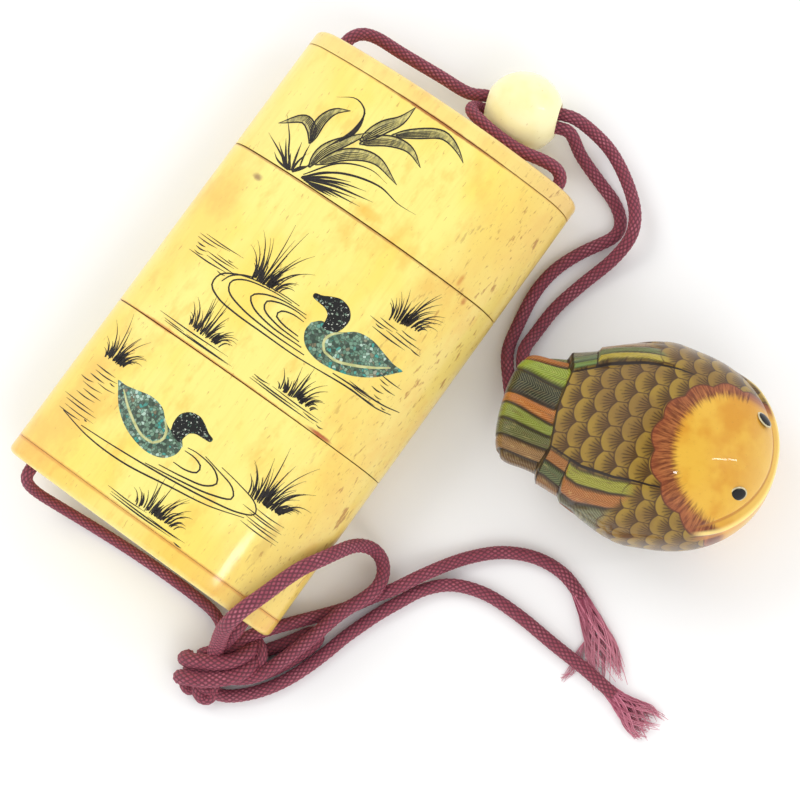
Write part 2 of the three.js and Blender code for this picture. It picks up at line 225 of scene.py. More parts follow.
left_toggle = [
    (39.1, 12.8, 5.7), (37.7, 12.5, 5.0), (35.9, 13.0, 4.1), (34.1, 14.3, 3.2), (32.3, 16.0, 2.5),
    (30.5, 18.8, 2.0), (30.4, 22.0, 1.2), (30.6, 27.2, 1.1), (31.8, 32.6, 1.1), (33.7, 39.2, 2.0),
    (34.0, 43.4, 3.6), (32.6, 46.4, 3.8), (29.2, 49.6, 3.4), (23.5, 52.8, 3.6), (18.4, 53.6, 4.9),
]
left_top = [
    (-0.2, 47.5, 5.0), (-6.0, 47.3, 4.4), (-13.5, 46.7, 5.2), (-17.8, 46.1, 7.0), (-19.7, 45.0, 8.1),
]
left_tail = [
    (-20.6, -42.9, 8.6), (-20.0, -43.8, 7.0), (-18.4, -44.1, 4.9), (-15.2, -43.9, 2.9), (-10.4, -43.5, 1.5),
    (-5.0, -43.1, 1.1), (1.0, -42.8, 1.1), (7.5, -42.7, 1.1), (12.4, -42.8, 1.2), (15.2, -43.1, 1.7),
    (17.4, -44.1, 2.3), (19.0, -45.9, 2.9), (19.9, -48.0, 3.1),
]
right_toggle = [
    (39.9, 10.6, 5.7), (38.4, 10.1, 5.1), (36.6, 9.6, 4.3), (34.6, 10.3, 3.6), (32.8, 11.9, 3.1),
    (31.4, 13.5, 2.7), (29.8, 15.3, 2.1), (28.3, 17.6, 1.3), (27.3, 21.9, 1.1), (26.5, 27.5, 1.1),
    (27.0, 32.4, 1.1), (28.8, 37.0, 1.1), (30.7, 40.3, 1.1), (31.7, 42.4, 1.1), (31.3, 44.5, 1.1),
    (28.6, 46.7, 1.1), (24.9, 48.0, 1.4), (19.9, 49.6, 3.2),
]
right_top = [
    (2.0, 45.6, 7.5), (2.3, 44.5, 9.1), (4.6, 43.6, 10.6), (8.8, 43.0, 11.0), (13.0, 43.1, 10.8),
    (16.4, 43.9, 10.3), (18.9, 44.2, 9.7), (20.2, 43.7, 9.1),
]
right_tail = [(20.6, -42.6, 8.5), (20.3, -43.7, 7.0), (19.9, -44.9, 5.6), (19.5, -46.4, 4.4), (19.5, -48.2, 3.5)]
loop_route = [
    (20.0, -49.4, 3.2), (19.3, -48.0, 4.5), (19.1, -46.2, 6.8), (19.3, -44.4, 11.2), (19.9, -42.4, 15.0),
    (20.8, -39.5, 16.5), (21.8, -36.6, 16.3), (22.8, -33.2, 15.7), (24.0, -29.8, 15.1), (25.5, -26.7, 13.2),
    (26.5, -24.2, 10.3), (27.3, -22.3, 7.4), (28.4, -21.1, 5.0), (29.9, -20.6, 3.3), (31.7, -21.1, 2.5),
    (33.2, -22.8, 2.8), (33.8, -24.9, 3.7), (33.3, -27.4, 4.3), (32.1, -30.0, 4.0), (31.0, -33.0, 3.6),
    (30.3, -36.2, 3.6), (29.4, -39.3, 3.5), (28.5, -42.2, 3.4), (27.6, -44.8, 3.4), (26.4, -47.0, 3.3),
    (24.4, -48.9, 3.0), (22.6, -49.9, 2.9),
]
short_end_route = [
    (20.8, -47.6, 3.0), (20.9, -45.4, 3.4), (21.7, -43.2, 3.6), (23.5, -40.5, 3.2), (26.3, -36.9, 2.4),
    (29.6, -32.8, 1.5), (31.8, -29.9, 1.1), (33.7, -26.8, 1.2), (35.8, -23.9, 2.4), (37.4, -21.0, 2.8),
    (39.0, -18.1, 2.2), (40.6, -15.4, 1.3), (42.1, -13.3, 1.1), (46.0, -9.4, 1.1), (51.0, -6.9, 1.1),
    (56.0, -6.5, 1.1), (60.4, -7.9, 1.1),
]
long_end_route = [
    (19.6, -53.4, 2.3), (21.9, -53.2, 1.6), (24.2, -52.4, 1.1), (26.1, -50.8, 1.1), (28.3, -48.3, 1.1),
    (30.3, -45.0, 1.1), (31.8, -41.4, 1.1), (33.0, -37.6, 1.1), (33.8, -34.5, 1.1),
    (34.9, -31.3, 1.1), (36.2, -27.9, 1.1), (37.7, -24.7, 1.1), (39.3, -21.5, 1.1), (42.5, -18.1, 1.1),
    (47.6, -16.1, 1.1), (54.0, -15.8, 1.1), (60.8, -16.3, 1.1), (67.9, -16.7, 1.1), (73.0, -17.3, 1.1),
]
short_fray_spine = ((59.2, -7.4, 1.1), (62.8, -9.5, 1.1), (67.2, -12.6, 1.1), (72.3, -17.0, 1.1))
short_fray_wisp = ((64.5, -13.2, 0.5), (65.0, -15.6, 0.3), (65.4, -18.0, 0.2), (65.0, -19.8, 0.15))
long_fray_spine = ((71.8, -17.15, 1.1), (74.8, -17.6, 1.1), (78.6, -18.0, 1.1), (82.0, -18.3, 1.1))
# Radius of each strand of the knot, and its places right of, above and over the knot's middle
knot_bands = [
    (1.15, [
        (-4.6, 2.3, 1.3), (-5.3, 2.0, 2.6), (-4.4, 1.7, 4.2), (-1.5, 1.2, 5.1), (2.3, 1.1, 5.3), (4.7, 2.2, 4.5),
        (6.0, 3.4, 3.2),
    ]),
    (1.15, [
        (-5.4, -1.0, 1.3), (-6.1, -0.8, 2.6), (-4.9, -1.1, 4.0), (-1.6, -1.6, 4.7), (2.6, -1.2, 4.7),
        (5.2, 0.2, 3.9), (6.4, 1.8, 2.8),
    ]),
    (0.95, [(-4.6, 0.4, 1.6), (-4.6, 0.4, 2.9), (-2.4, 0.0, 3.7), (1.6, 0.1, 4.1), (4.6, 1.3, 3.4), (5.8, 2.6, 2.4)]),
    (0.95, [(-2.6, 2.6, 1.6), (-1.6, 2.8, 3.2), (0.8, 2.9, 3.8), (3.4, 3.3, 3.6), (5.2, 4.3, 2.6)]),
    (0.85, [(6.0, 4.6, 2.4), (6.9, 3.6, 3.6), (7.2, 2.2, 4.0), (6.8, 0.8, 3.4), (6.0, -0.3, 2.2)]),
    (1.0, [
        (-3.2, -1.2, 2.4), (-3.3, -3.0, 1.9), (-2.9, -4.1, 1.4), (-1.9, -4.5, 1.2), (-1.0, -3.8, 1.4),
        (-0.7, -2.4, 1.9), (-0.6, -1.2, 2.4),
    ]),
    (0.9, [(-5.4, -1.2, 1.9), (-5.2, -2.6, 1.6), (-4.5, -3.1, 1.2), (-3.8, -2.4, 1.6), (-3.6, -1.2, 1.9)]),
]
knot_ear = [
    (22.4, -46.9, 1.8), (24.4, -43.9, 1.15), (26.4, -41.2, 1.15), (28.1, -38.4, 1.15),
    (29.4, -36.4, 1.15), (30.6, -36.3, 1.15), (30.6, -38.0, 1.15), (29.6, -41.0, 1.15),
    (28.2, -44.0, 1.15), (26.4, -46.8, 1.15), (24.3, -48.6, 1.8),
]


def strand_route(side, toggle, top, tail):
    """One strand's whole way: toggle, bead, over the top plate, down its channel and on to the knot."""
    x = side * channel_x
    across = -side * 1.15
    outside = 0.92 * bead_radius + 0.3
    lead_in, lead_out = 1.6, 0.3
    through = [in_bead(share * outside, across) for share in (1, 0.5, 0, -0.5, -1)]
    down = [(x, case_mouth * share, middle_height) for share in (1, 0.6, 0.2, -0.2, -0.6, -1)]
    return [
        *toggle, in_bead(outside + lead_in, across), *through, in_bead(-outside - lead_out, across), *top,
        (x, case_mouth + lead_in, middle_height), *down, (x, -case_mouth - lead_out, middle_height), *tail,
    ]


def cord_piece(name, route, material, nodes, snug=as_made):
    """One free cord along its route, fitted in place of its solids."""
    bm = bmesh.new()
    line, length = braided_tube(bm, route, snug=snug)
    piece = piece_from(bm, name, material, 180)
    fitted(piece, "cord", *nodes)
    tuple(line[0] * mm)
    round(length * mm, 4)
    [tuple(place * mm) for place in line[::3]] + [tuple(line[-1] * mm)]


def tied_knot(material):
    """Bands drawn over a packed core, a strand wrapped round its mouth, small bights and one tight ear."""
    bm = bmesh.new()
    for radius, band in knot_bands:
        braided_tube(bm, [in_knot(*point) for point in band], radius)
    braided_tube(bm, knot_ear)
    core = bmesh.ops.create_uvsphere(bm, u_segments=48, v_segments=24, radius=1, calc_uvs=True)["verts"]
    place, size = Vector(in_knot(0.2, 0.2, 2.6)) * mm, (5.0 * mm, 2.7 * mm, 2.3 * mm, 1)
    shape = Matrix.Translation(place) @ Matrix.Rotation(math.atan2(0.6, 0.8), 4, "Z") @ Matrix.Diagonal(size)
    bmesh.ops.transform(bm, matrix=shape, verts=core)
    return fitted(piece_from(bm, "tied_knot", material, 180), "cord", "cord_knot")


fray_bundles = 22
bundle_yarns = 5
wisp_yarns = 16


def frayed_tip(name, material, spine, spread, seed, wisp=()):
    """A cord's end come loose: bundles of yarn that still cross like the braid, flare wide and lie on the floor."""
    chance = random.Random(seed)
    line, _ = smooth_line(spine, 0.4)
    across = np.cross([0, 0, 1.0], np.gradient(line, axis=0) / 0.4)
    bm = bmesh.new()
    for bundle in range(fray_bundles):
        start = 2 * math.pi * bundle / fray_bundles
        way = 1 if bundle % 2 else -1
        bundle_reach = chance.uniform(0.78, 1.0)
        for _ in range(bundle_yarns):
            reach = bundle_reach * chance.uniform(0.82, 1.0)
            beside, over = chance.uniform(-0.2, 0.2), chance.uniform(-0.14, 0.14)
            crimp, wave = chance.uniform(0.02, 0.07), chance.uniform(0, 2 * math.pi)
            stray = chance.uniform(-0.5, 0.5)
            yarn = []
            for share in np.linspace(0, reach, 13):
                here = round(share * (len(line) - 1))
                out = cord_radius * 0.8 + (spread - cord_radius * 0.8) * min(1.0, 1.6 * share) ** 1.3
                turn = start + way * 2.3 * share
                aside = out * math.cos(turn) + beside * (1 + share) + stray * share ** 3
                aside += crimp * math.sin(wave + 16 * share)
                height = 1.0 - 0.3 * share + (0.75 - 0.25 * share) * math.sin(turn) + over
                yarn.append((*(line[here] + across[here] * aside)[:2], height))
            yarn_tube(bm, yarn, chance.uniform(0.07, 0.11), chance.random())
    for _ in range(wisp_yarns if wisp else 0):
        jitter = [(x + chance.uniform(-0.6, 0.6), y + chance.uniform(-0.6, 0.6), z) for x, y, z in wisp[1:]]
        yarn_tube(bm, [wisp[0], *jitter], 0.045, chance.uniform(0.5, 1.0))
    return fitted(piece_from(bm, name, material, 180), "cord")


def yarn_tube(bm, route, radius, tint):
    """One yarn that thins to its tip. Its UV map holds its tint and the millimetres along it."""
    line, length = smooth_line(route, 0.5)
    first, second = across_line(line)
    uv_layer = bm.loops.layers.uv.get("UVMap") or bm.loops.layers.uv.new("UVMap")
    rings = len(line) - 1
    made = bmesh.ops.create_grid(bm, x_segments=5, y_segments=rings, size=0.5, calc_uvs=True)["verts"]
    for face in {face for vert in made for face in vert.link_faces}:
        for loop in face.loops:
            loop[uv_layer].uv = (tint, loop[uv_layer].uv.y * length)
    seam = []
    for vert in made:
        around = 2 * math.pi * (vert.co.x + 0.5)
        ring = round((vert.co.y + 0.5) * rings)
        if abs(vert.co.x) > 0.499:
            seam.append(vert)
        slim = radius * (1 - 0.6 * (ring / rings) ** 3)
        place = line[ring] + slim * (math.cos(around) * first[ring] + math.sin(around) * second[ring])
        vert.co = (place[0] * mm, place[1] * mm, max(0.03, place[2]) * mm)
    bmesh.ops.remove_doubles(bm, verts=seam, dist=1e-7)
    bmesh.ops.holes_fill(bm, edges=[edge for edge in bm.edges if edge.is_boundary], sides=0)


# Case

def side_outline(half_width, half_thickness, side_radius, count):
    """Points across the case, evenly round it: two shallow arcs that run into two round sides."""
    side = min(side_radius, 0.9 * half_thickness)
    reach = half_width - side
    face = (reach ** 2 + half_thickness ** 2 - side ** 2) / (2 * (half_thickness - side))
    lean = math.asin(reach / (face - side))
    flank = math.pi / 2 - lean
    quarter, side_arc, face_arc = flank * side, 2 * flank * side, 2 * lean * face
    # Each arc's length, its radius, where its angle starts, and its centre
    arcs = (
        (quarter, side, 0.0, reach, 0.0), (face_arc, face, flank, 0.0, half_thickness - face),
        (side_arc, side, math.pi - flank, -reach, 0.0),
        (face_arc, face, math.pi + flank, 0.0, face - half_thickness), (quarter, side, -flank, reach, 0.0),
    )
    outline = []
    for k in range(count):
        walked = (quarter + face_arc + side_arc + face_arc + quarter) * k / count
        for length, radius, start, x, z in arcs:
            if walked < length:
                break
            walked -= length
        angle = start + walked / radius
        outline.append((x + radius * math.cos(angle), z + radius * math.sin(angle)))
    return outline


outline_points = 144


def case_block(sizes, low, high, low_round=0.0, high_round=0.0):
    """A closed block with the case's outline, from low to high along the case, with its end edges rounded."""
    bm = bmesh.new()
    ring = bmesh.ops.create_circle(bm, cap_ends=True, segments=outline_points, radius=1)["verts"]
    outline = side_outline(*sizes, outline_points)
    start = math.atan2(ring[0].co.y, ring[0].co.x)
    for vert in ring:
        turn = (math.atan2(vert.co.y, vert.co.x) - start) / (2 * math.pi)
        x, z = outline[round(turn * outline_points) % outline_points]
        vert.co = (x * mm, low * mm, max(0, middle_height + z) * mm)
    grown = bmesh.ops.extrude_face_region(bm, geom=bm.faces[:])["geom"]
    far = [vert for vert in grown if isinstance(vert, bmesh.types.BMVert)]
    bmesh.ops.translate(bm, vec=(0, (high - low) * mm, 0), verts=far)
    bmesh.ops.recalc_face_normals(bm, faces=bm.faces[:])
    for place, radius in ((low, low_round), (high, high_round)):
        if radius:
            rim = [edge for edge in bm.edges if all(abs(vert.co.y - place * mm) < 1e-7 for vert in edge.verts)]
            bmesh.ops.bevel(
                bm, geom=rim, offset=radius * mm, offset_type="OFFSET", segments=6 if radius > 0.5 else 3,
                profile=0.5, affect="EDGES", material=-1, clamp_overlap=True)
    return bm


def combined(piece, bm, operation):
    """Joins another block to a piece, or cuts it out."""
    mesh = bpy.data.meshes.new("tool")
    bm.to_mesh(mesh)
    bm.free()
    tool = bpy.data.objects.new("tool", mesh)
    bpy.context.scene.collection.objects.link(tool)
    change = piece.modifiers.new("change", "BOOLEAN")
    change.operation = operation
    change.solver = "EXACT"
    change.object = tool
    bpy.context.view_layer.update()
    result = bpy.data.meshes.new_from_object(piece.evaluated_get(bpy.context.evaluated_depsgraph_get()))
    piece.modifiers.clear()
    piece.data = result
    bpy.data.objects.remove(tool)


def channel(side):
    """The round cutter for one of the two channels that the cord runs through."""
    bm = bmesh.new()
    bmesh.ops.create_cone(
        bm, cap_ends=True, segments=32, radius1=channel_radius * mm, radius2=channel_radius * mm, depth=0.12)
    bmesh.ops.rotate(bm, cent=(0, 0, 0), matrix=Matrix.Rotation(math.pi / 2, 3, "X"), verts=bm.verts[:])
    bmesh.ops.translate(bm, vec=(side * channel_x * mm, 0, middle_height * mm), verts=bm.verts[:])
    return bm


outer = (case_width / 2, outer_half_thickness, case_side_radius)
lip = (lip_half_width, lip_half_thickness, lip_corner_radius)
hollow = tuple(size - lip_wall for size in lip)
socket = tuple(size + lip_clearance for size in lip)


def case_piece(name, material, slot, shell, changes, node):
    """A block of the case after its lips, hollows and both cord channels are added and cut."""
    piece = piece_from(shell, name, material)
    for operation, tool in changes:
        combined(piece, tool, operation)
    for side in (-1, 1):
        combined(piece, channel(side), "DIFFERENCE")
    piece.data.shade_smooth()
    piece.data.set_sharp_from_angle(angle=math.radians(40))
    even = piece.modifiers.new("even_faces", "WEIGHTED_NORMAL")
    even.weight = 100
    even.keep_sharp = True
    return fitted(piece, slot, node)


def stacked_case(bone, top_bone, honey):
    """Five blocks end to end, so close that only a hairline shows between one and the next."""
    seam, edge = 0.09, 0.09
    socket_depth = lip_height + lip_clearance

    def lipped(seam_place, cuts):
        """A lip above a seam, hollowed by the cuts."""
        return [("UNION", case_block(lip, seam_place - 1, seam_place + lip_height, 0, 0.2)), *cuts]

    case_piece(
        "lid_section", bone, "bone", case_block(outer, lid_seam + seam, lid_end - 0.05, edge, edge),
        [("DIFFERENCE", case_block(socket, lid_seam - 1, lid_end + 1))], "case_lid")
    case_piece(
        "middle_section", bone, "bone", case_block(outer, middle_seam + 0.07, lid_seam - seam, edge, edge),
        lipped(lid_seam, [
            ("DIFFERENCE", case_block(
                hollow, middle_seam + socket_depth + floor_thickness, lid_seam + lip_height + 1)),
            ("DIFFERENCE", case_block(socket, middle_seam - 1, middle_seam + socket_depth)),
        ]), "case_middle")
    case_piece(
        "bottom_section", bone, "bone", case_block(outer, bottom_end + 0.02, middle_seam - 0.07, 0.05, edge),
        lipped(middle_seam, [
            ("DIFFERENCE", case_block(hollow, bottom_end - 1, middle_seam + lip_height + 1)),
        ]), "case_bottom")
    case_piece(
        "top_plate", top_bone, "bone", case_block(outer, lid_end + 0.06, case_end, edge, 1.0), [], "case_top_plate")
    case_piece(
        "bottom_plate", honey, "honey_bone", case_block(outer, -case_end, bottom_end - 0.02, 1.0, 0.05), [],
        "case_bottom_plate")


# Bead

def sliding_bead(material):
    """A turned ball, bored through, with softened mouths."""
    bm = bmesh.new()
    mouth_round, bore_depth = 0.35, 1.6
    mouth = math.asin((bead_bore + mouth_round) / bead_radius)
    lip_end = bead_radius * math.cos(mouth) - mouth_round
    arc = [mouth + (math.pi - 2 * mouth) * k / 32 for k in range(33)]
    profile = [bm.verts.new((x * mm, 0, z * mm)) for x, z in (
        (bore_depth - bead_radius, bead_bore), (-lip_end, bead_bore),
        *((-bead_radius * math.cos(angle), bead_radius * math.sin(angle)) for angle in arc), (lip_end, bead_bore))]
    edges = [bm.edges.new(pair) for pair in zip(profile, profile[1:] + profile[:1])]
    bmesh.ops.spin(
        bm, geom=profile + edges, cent=(0, 0, 0), axis=(1, 0, 0), angle=2 * math.pi, steps=72, use_merge=True)
    bmesh.ops.remove_doubles(bm, verts=bm.verts[:], dist=1e-6)
    bmesh.ops.rotate(bm, cent=(0, 0, 0), matrix=Matrix.Rotation(bead_turn, 3, "Z"), verts=bm.verts[:])
    bmesh.ops.translate(bm, vec=Vector((*bead_place, bead_radius)) * mm, verts=bm.verts[:])
    bmesh.ops.recalc_face_normals(bm, faces=bm.faces[:])
    return fitted(piece_from(bm, "turned_bead", material, 50), "pale_bone", "ojime_bead")


# Engraving and inlay on the face of the case

side_centre = case_width / 2 - case_side_radius
face_edge = 21.0
crown = (side_centre ** 2 + outer_half_thickness ** 2 - case_side_radius ** 2) / (
    2 * (outer_half_thickness - case_side_radius))


def face_height(x):
    """Height of the crowned face, or of the rounded side beyond it, at a place across the case."""
    x = abs(x)
    if x < face_edge:
        return middle_height + outer_half_thickness - crown + math.sqrt(crown ** 2 - x ** 2)
    return middle_height + math.sqrt(max(0, case_side_radius ** 2 - (x - side_centre) ** 2))


def flat_line(points, count):
    """Even points on the smooth curve through a stroke's points on the face."""
    line, _ = smooth_line([(x, y, 0) for x, y in points], 0.1)
    picked = np.linspace(0, len(line) - 1, count)
    return np.stack([np.interp(picked, np.arange(len(line)), line[:, k]) for k in range(2)], 1)


def cut_stroke(bm, points, width, root=0.35, tip=0.0, fullest=0.3, lift=0.02):
    """One engraved stroke: a ribbon on the face that swells to its width and runs out to its tip."""
    long = sum(math.dist(a, b) for a, b in zip(points, points[1:]))
    line = flat_line(points, 2 + max(4, round(long / 0.7)))
    heading = np.gradient(line, axis=0)
    heading /= np.maximum(1e-9, np.linalg.norm(heading, axis=1))[:, None]
    steps = len(line) - 1
    for vert in bmesh.ops.create_grid(bm, x_segments=steps, y_segments=1, size=1)["verts"]:
        k = round((vert.co.x + 1) / 2 * steps)
        share = k / steps
        if share < fullest:
            swell = root + (1 - root) * math.sin(math.pi / 2 * share / fullest)
        else:
            swell = tip + (1 - tip) * math.cos(math.pi / 2 * (share - fullest) / (1 - fullest))
        half = 0.5 * max(0.03, width * swell) * math.copysign(1, vert.co.y)
        x = line[k][0] - heading[k][1] * half
        y = line[k][1] + heading[k][0] * half
        vert.co = (x * mm, y * mm, (face_height(x) + lift) * mm)


def filled_shape(bm, outline, lift=0.015, depth=0.3):
    """A piece of inlay with a closed outline, let into the crowned face."""
    line = flat_line([*outline, outline[0]], 6 * len(outline))
    face = bm.faces.new([bm.verts.new((x * mm, y * mm, 0)) for x, y in line[:-1]])
    face.normal_update()
    if face.normal.z < 0:
        face.normal_flip()
    parts = [face, *face.edges, *face.verts]
    low, high = line[:, 0].min(), line[:, 0].max()
    for x in np.arange(math.floor(low / 0.6) + 1, high / 0.6) * 0.6:
        parts = bmesh.ops.bisect_plane(
            bm, geom=[part for part in parts if part.is_valid], dist=1e-8, plane_co=(x * mm, 0, 0),
            plane_no=(1, 0, 0))["geom"]
    top = [part for part in parts if isinstance(part, bmesh.types.BMFace)]
    for vert in {vert for part in top for vert in part.verts}:
        vert.co.z = (face_height(vert.co.x / mm) + lift) * mm
    sunk = bmesh.ops.extrude_face_region(bm, geom=top, use_keep_orig=True)["geom"]
    bmesh.ops.translate(
        bm, vec=(0, 0, -depth * mm), verts=[part for part in sunk if isinstance(part, bmesh.types.BMVert)])


def tuft(bm, chance, left, right, tall, blades=22):
    """A tuft of grass that fans from its root line: leaning left, then long and upright, then short and low."""
    def blade(share, reach, lean, width, root):
        foot = np.array(left) * (1 - share) + np.array(right) * share
        foot = foot + (chance.uniform(-0.3, 0.3), chance.uniform(-0.25, 0.35))
        points = [foot]
        for part, bend in ((0.3, 0.35), (0.3, 0.8), (0.24, 1.25), (0.2, 1.6)):
            points.append(points[-1] + part * reach * np.array((math.sin(bend * lean), math.cos(bend * lean))))
        cut_stroke(bm, [tuple(point) for point in points], width, root=root, fullest=0.2)

    for k in range(round(1.3 * blades)):
        share = (k + 0.5) / round(1.3 * blades)
        lean = math.radians(-42 + 104 * share + chance.uniform(-9, 9))
        reach = tall * float(np.interp(share, (0, 0.12, 0.4, 0.65, 0.85, 1), (0.5, 0.75, 1.0, 0.85, 0.6, 0.42)))
        blade(share, reach * chance.choice((0.45, 0.6, 0.8, 1.08)), lean, chance.uniform(0.17, 0.25), 0.8)
    for _ in range(blades):
        share = (chance.random() + chance.random()) / 2
        lean = math.radians(-36 + 92 * share + chance.uniform(-12, 12))
        blade(share, tall * chance.uniform(0.16, 0.38), lean, chance.uniform(0.2, 0.3), 0.9)


def water_lines(bm, chance, start, end, rows, step, broken=0.3):
    """Nearly level lines of water under a tuft, some of them broken into dashes."""
    for row in range(rows):
        shift = row * step
        first = start[0] + chance.uniform(0, 2.5)
        last = end[0] - chance.uniform(0, 2.5)
        x = first
        while x < last - 0.5:
            long = min(last - x, chance.uniform(1.5, 4.5) if chance.random() < broken else chance.uniform(5, 14))
            share = (x - start[0]) / (end[0] - start[0])
            y = start[1] + (end[1] - start[1]) * share - shift + chance.uniform(-0.08, 0.08)
            cut_stroke(bm, [(x, y), (x + long / 2, y - 0.12), (x + long, y + chance.uniform(-0.15, 0.1))],
                       chance.uniform(0.14, 0.24), root=0.2, fullest=0.5)
            x += long + chance.uniform(0.3, 0.9)


def placed(outline, origin, scale, flip, turn):
    """An outline made smaller, mirrored if flip is -1, turned and set down at its origin."""
    c, s = math.cos(turn), math.sin(turn)
    return [
        (origin[0] + scale * (flip * x * c - y * s), origin[1] + scale * (flip * x * s + y * c))
        for x, y in outline]


# A swimming duck, seen from its side, with its breast at +X and its waterline along X.
duck_body = [
    (6.6, 1.6), (6.9, 0.0), (6.0, -2.0), (3.6, -3.4), (0.4, -3.8), (-3.2, -3.3), (-6.4, -1.9), (-9.2, 0.3),
    (-10.0, 1.0), (-8.4, 1.3), (-6.2, 2.2), (-3.6, 3.3), (-0.8, 3.4), (1.4, 2.3), (3.2, 1.9), (5.0, 2.6),
]
duck_wing = [(2.6, -1.8), (0.4, -2.3), (-2.6, -1.7), (-5.6, -0.6), (-8.0, 0.6)]
duck_wing_front = [(2.6, -1.8), (3.4, -0.3), (2.8, 1.2), (1.2, 2.3)]
duck_head = [
    (3.0, 1.7), (2.3, 3.2), (2.2, 4.9), (3.2, 6.3), (5.0, 6.9), (6.6, 6.5), (8.0, 5.9), (9.3, 5.6), (9.3, 5.0),
    (7.9, 4.6), (6.6, 4.3), (5.7, 3.6), (5.5, 2.6), (5.4, 1.4),
]


def duck(bodies, heads, marks, origin, flip, turn, head_origin, head_turn, scale):
    filled_shape(bodies, placed(duck_body, origin, scale, flip, turn), lift=0.015)
    filled_shape(heads, placed(duck_head, head_origin, scale, flip, head_turn), lift=0.03)
    for line in (duck_wing, duck_wing_front):
        cut_stroke(marks, placed(line, origin, scale, flip, turn), 0.42, root=0.9, tip=0.5, fullest=0.5, lift=0.035)


def thin_leaf(bm, shade, points, width):
    """A leaf: two engraved edges that meet at both ends, and hatching between them."""
    line = flat_line(points, 21)
    heading = np.gradient(line, axis=0)
    heading /= np.linalg.norm(heading, axis=1)[:, None]
    normal = np.stack([-heading[:, 1], heading[:, 0]], 1)
    belly = np.sin(np.pi * np.linspace(0, 1, 21) ** 0.7)[:, None] * width / 2
    for side in (-1, 1):
        edge = line + side * belly * normal
        cut_stroke(bm, [tuple(point) for point in edge[::2]], 0.25, root=0.7, tip=0.35, fullest=0.5)
    cut_stroke(shade, [tuple(point) for point in line[::2]], 1.05 * width, root=0.3, fullest=0.4, lift=0.01)
    for share in (-0.6, -0.3, 0.0, 0.3):
        cut_stroke(bm, [tuple(point) for point in (line + share * belly * normal)[1:14:3]], 0.16, root=0.5)


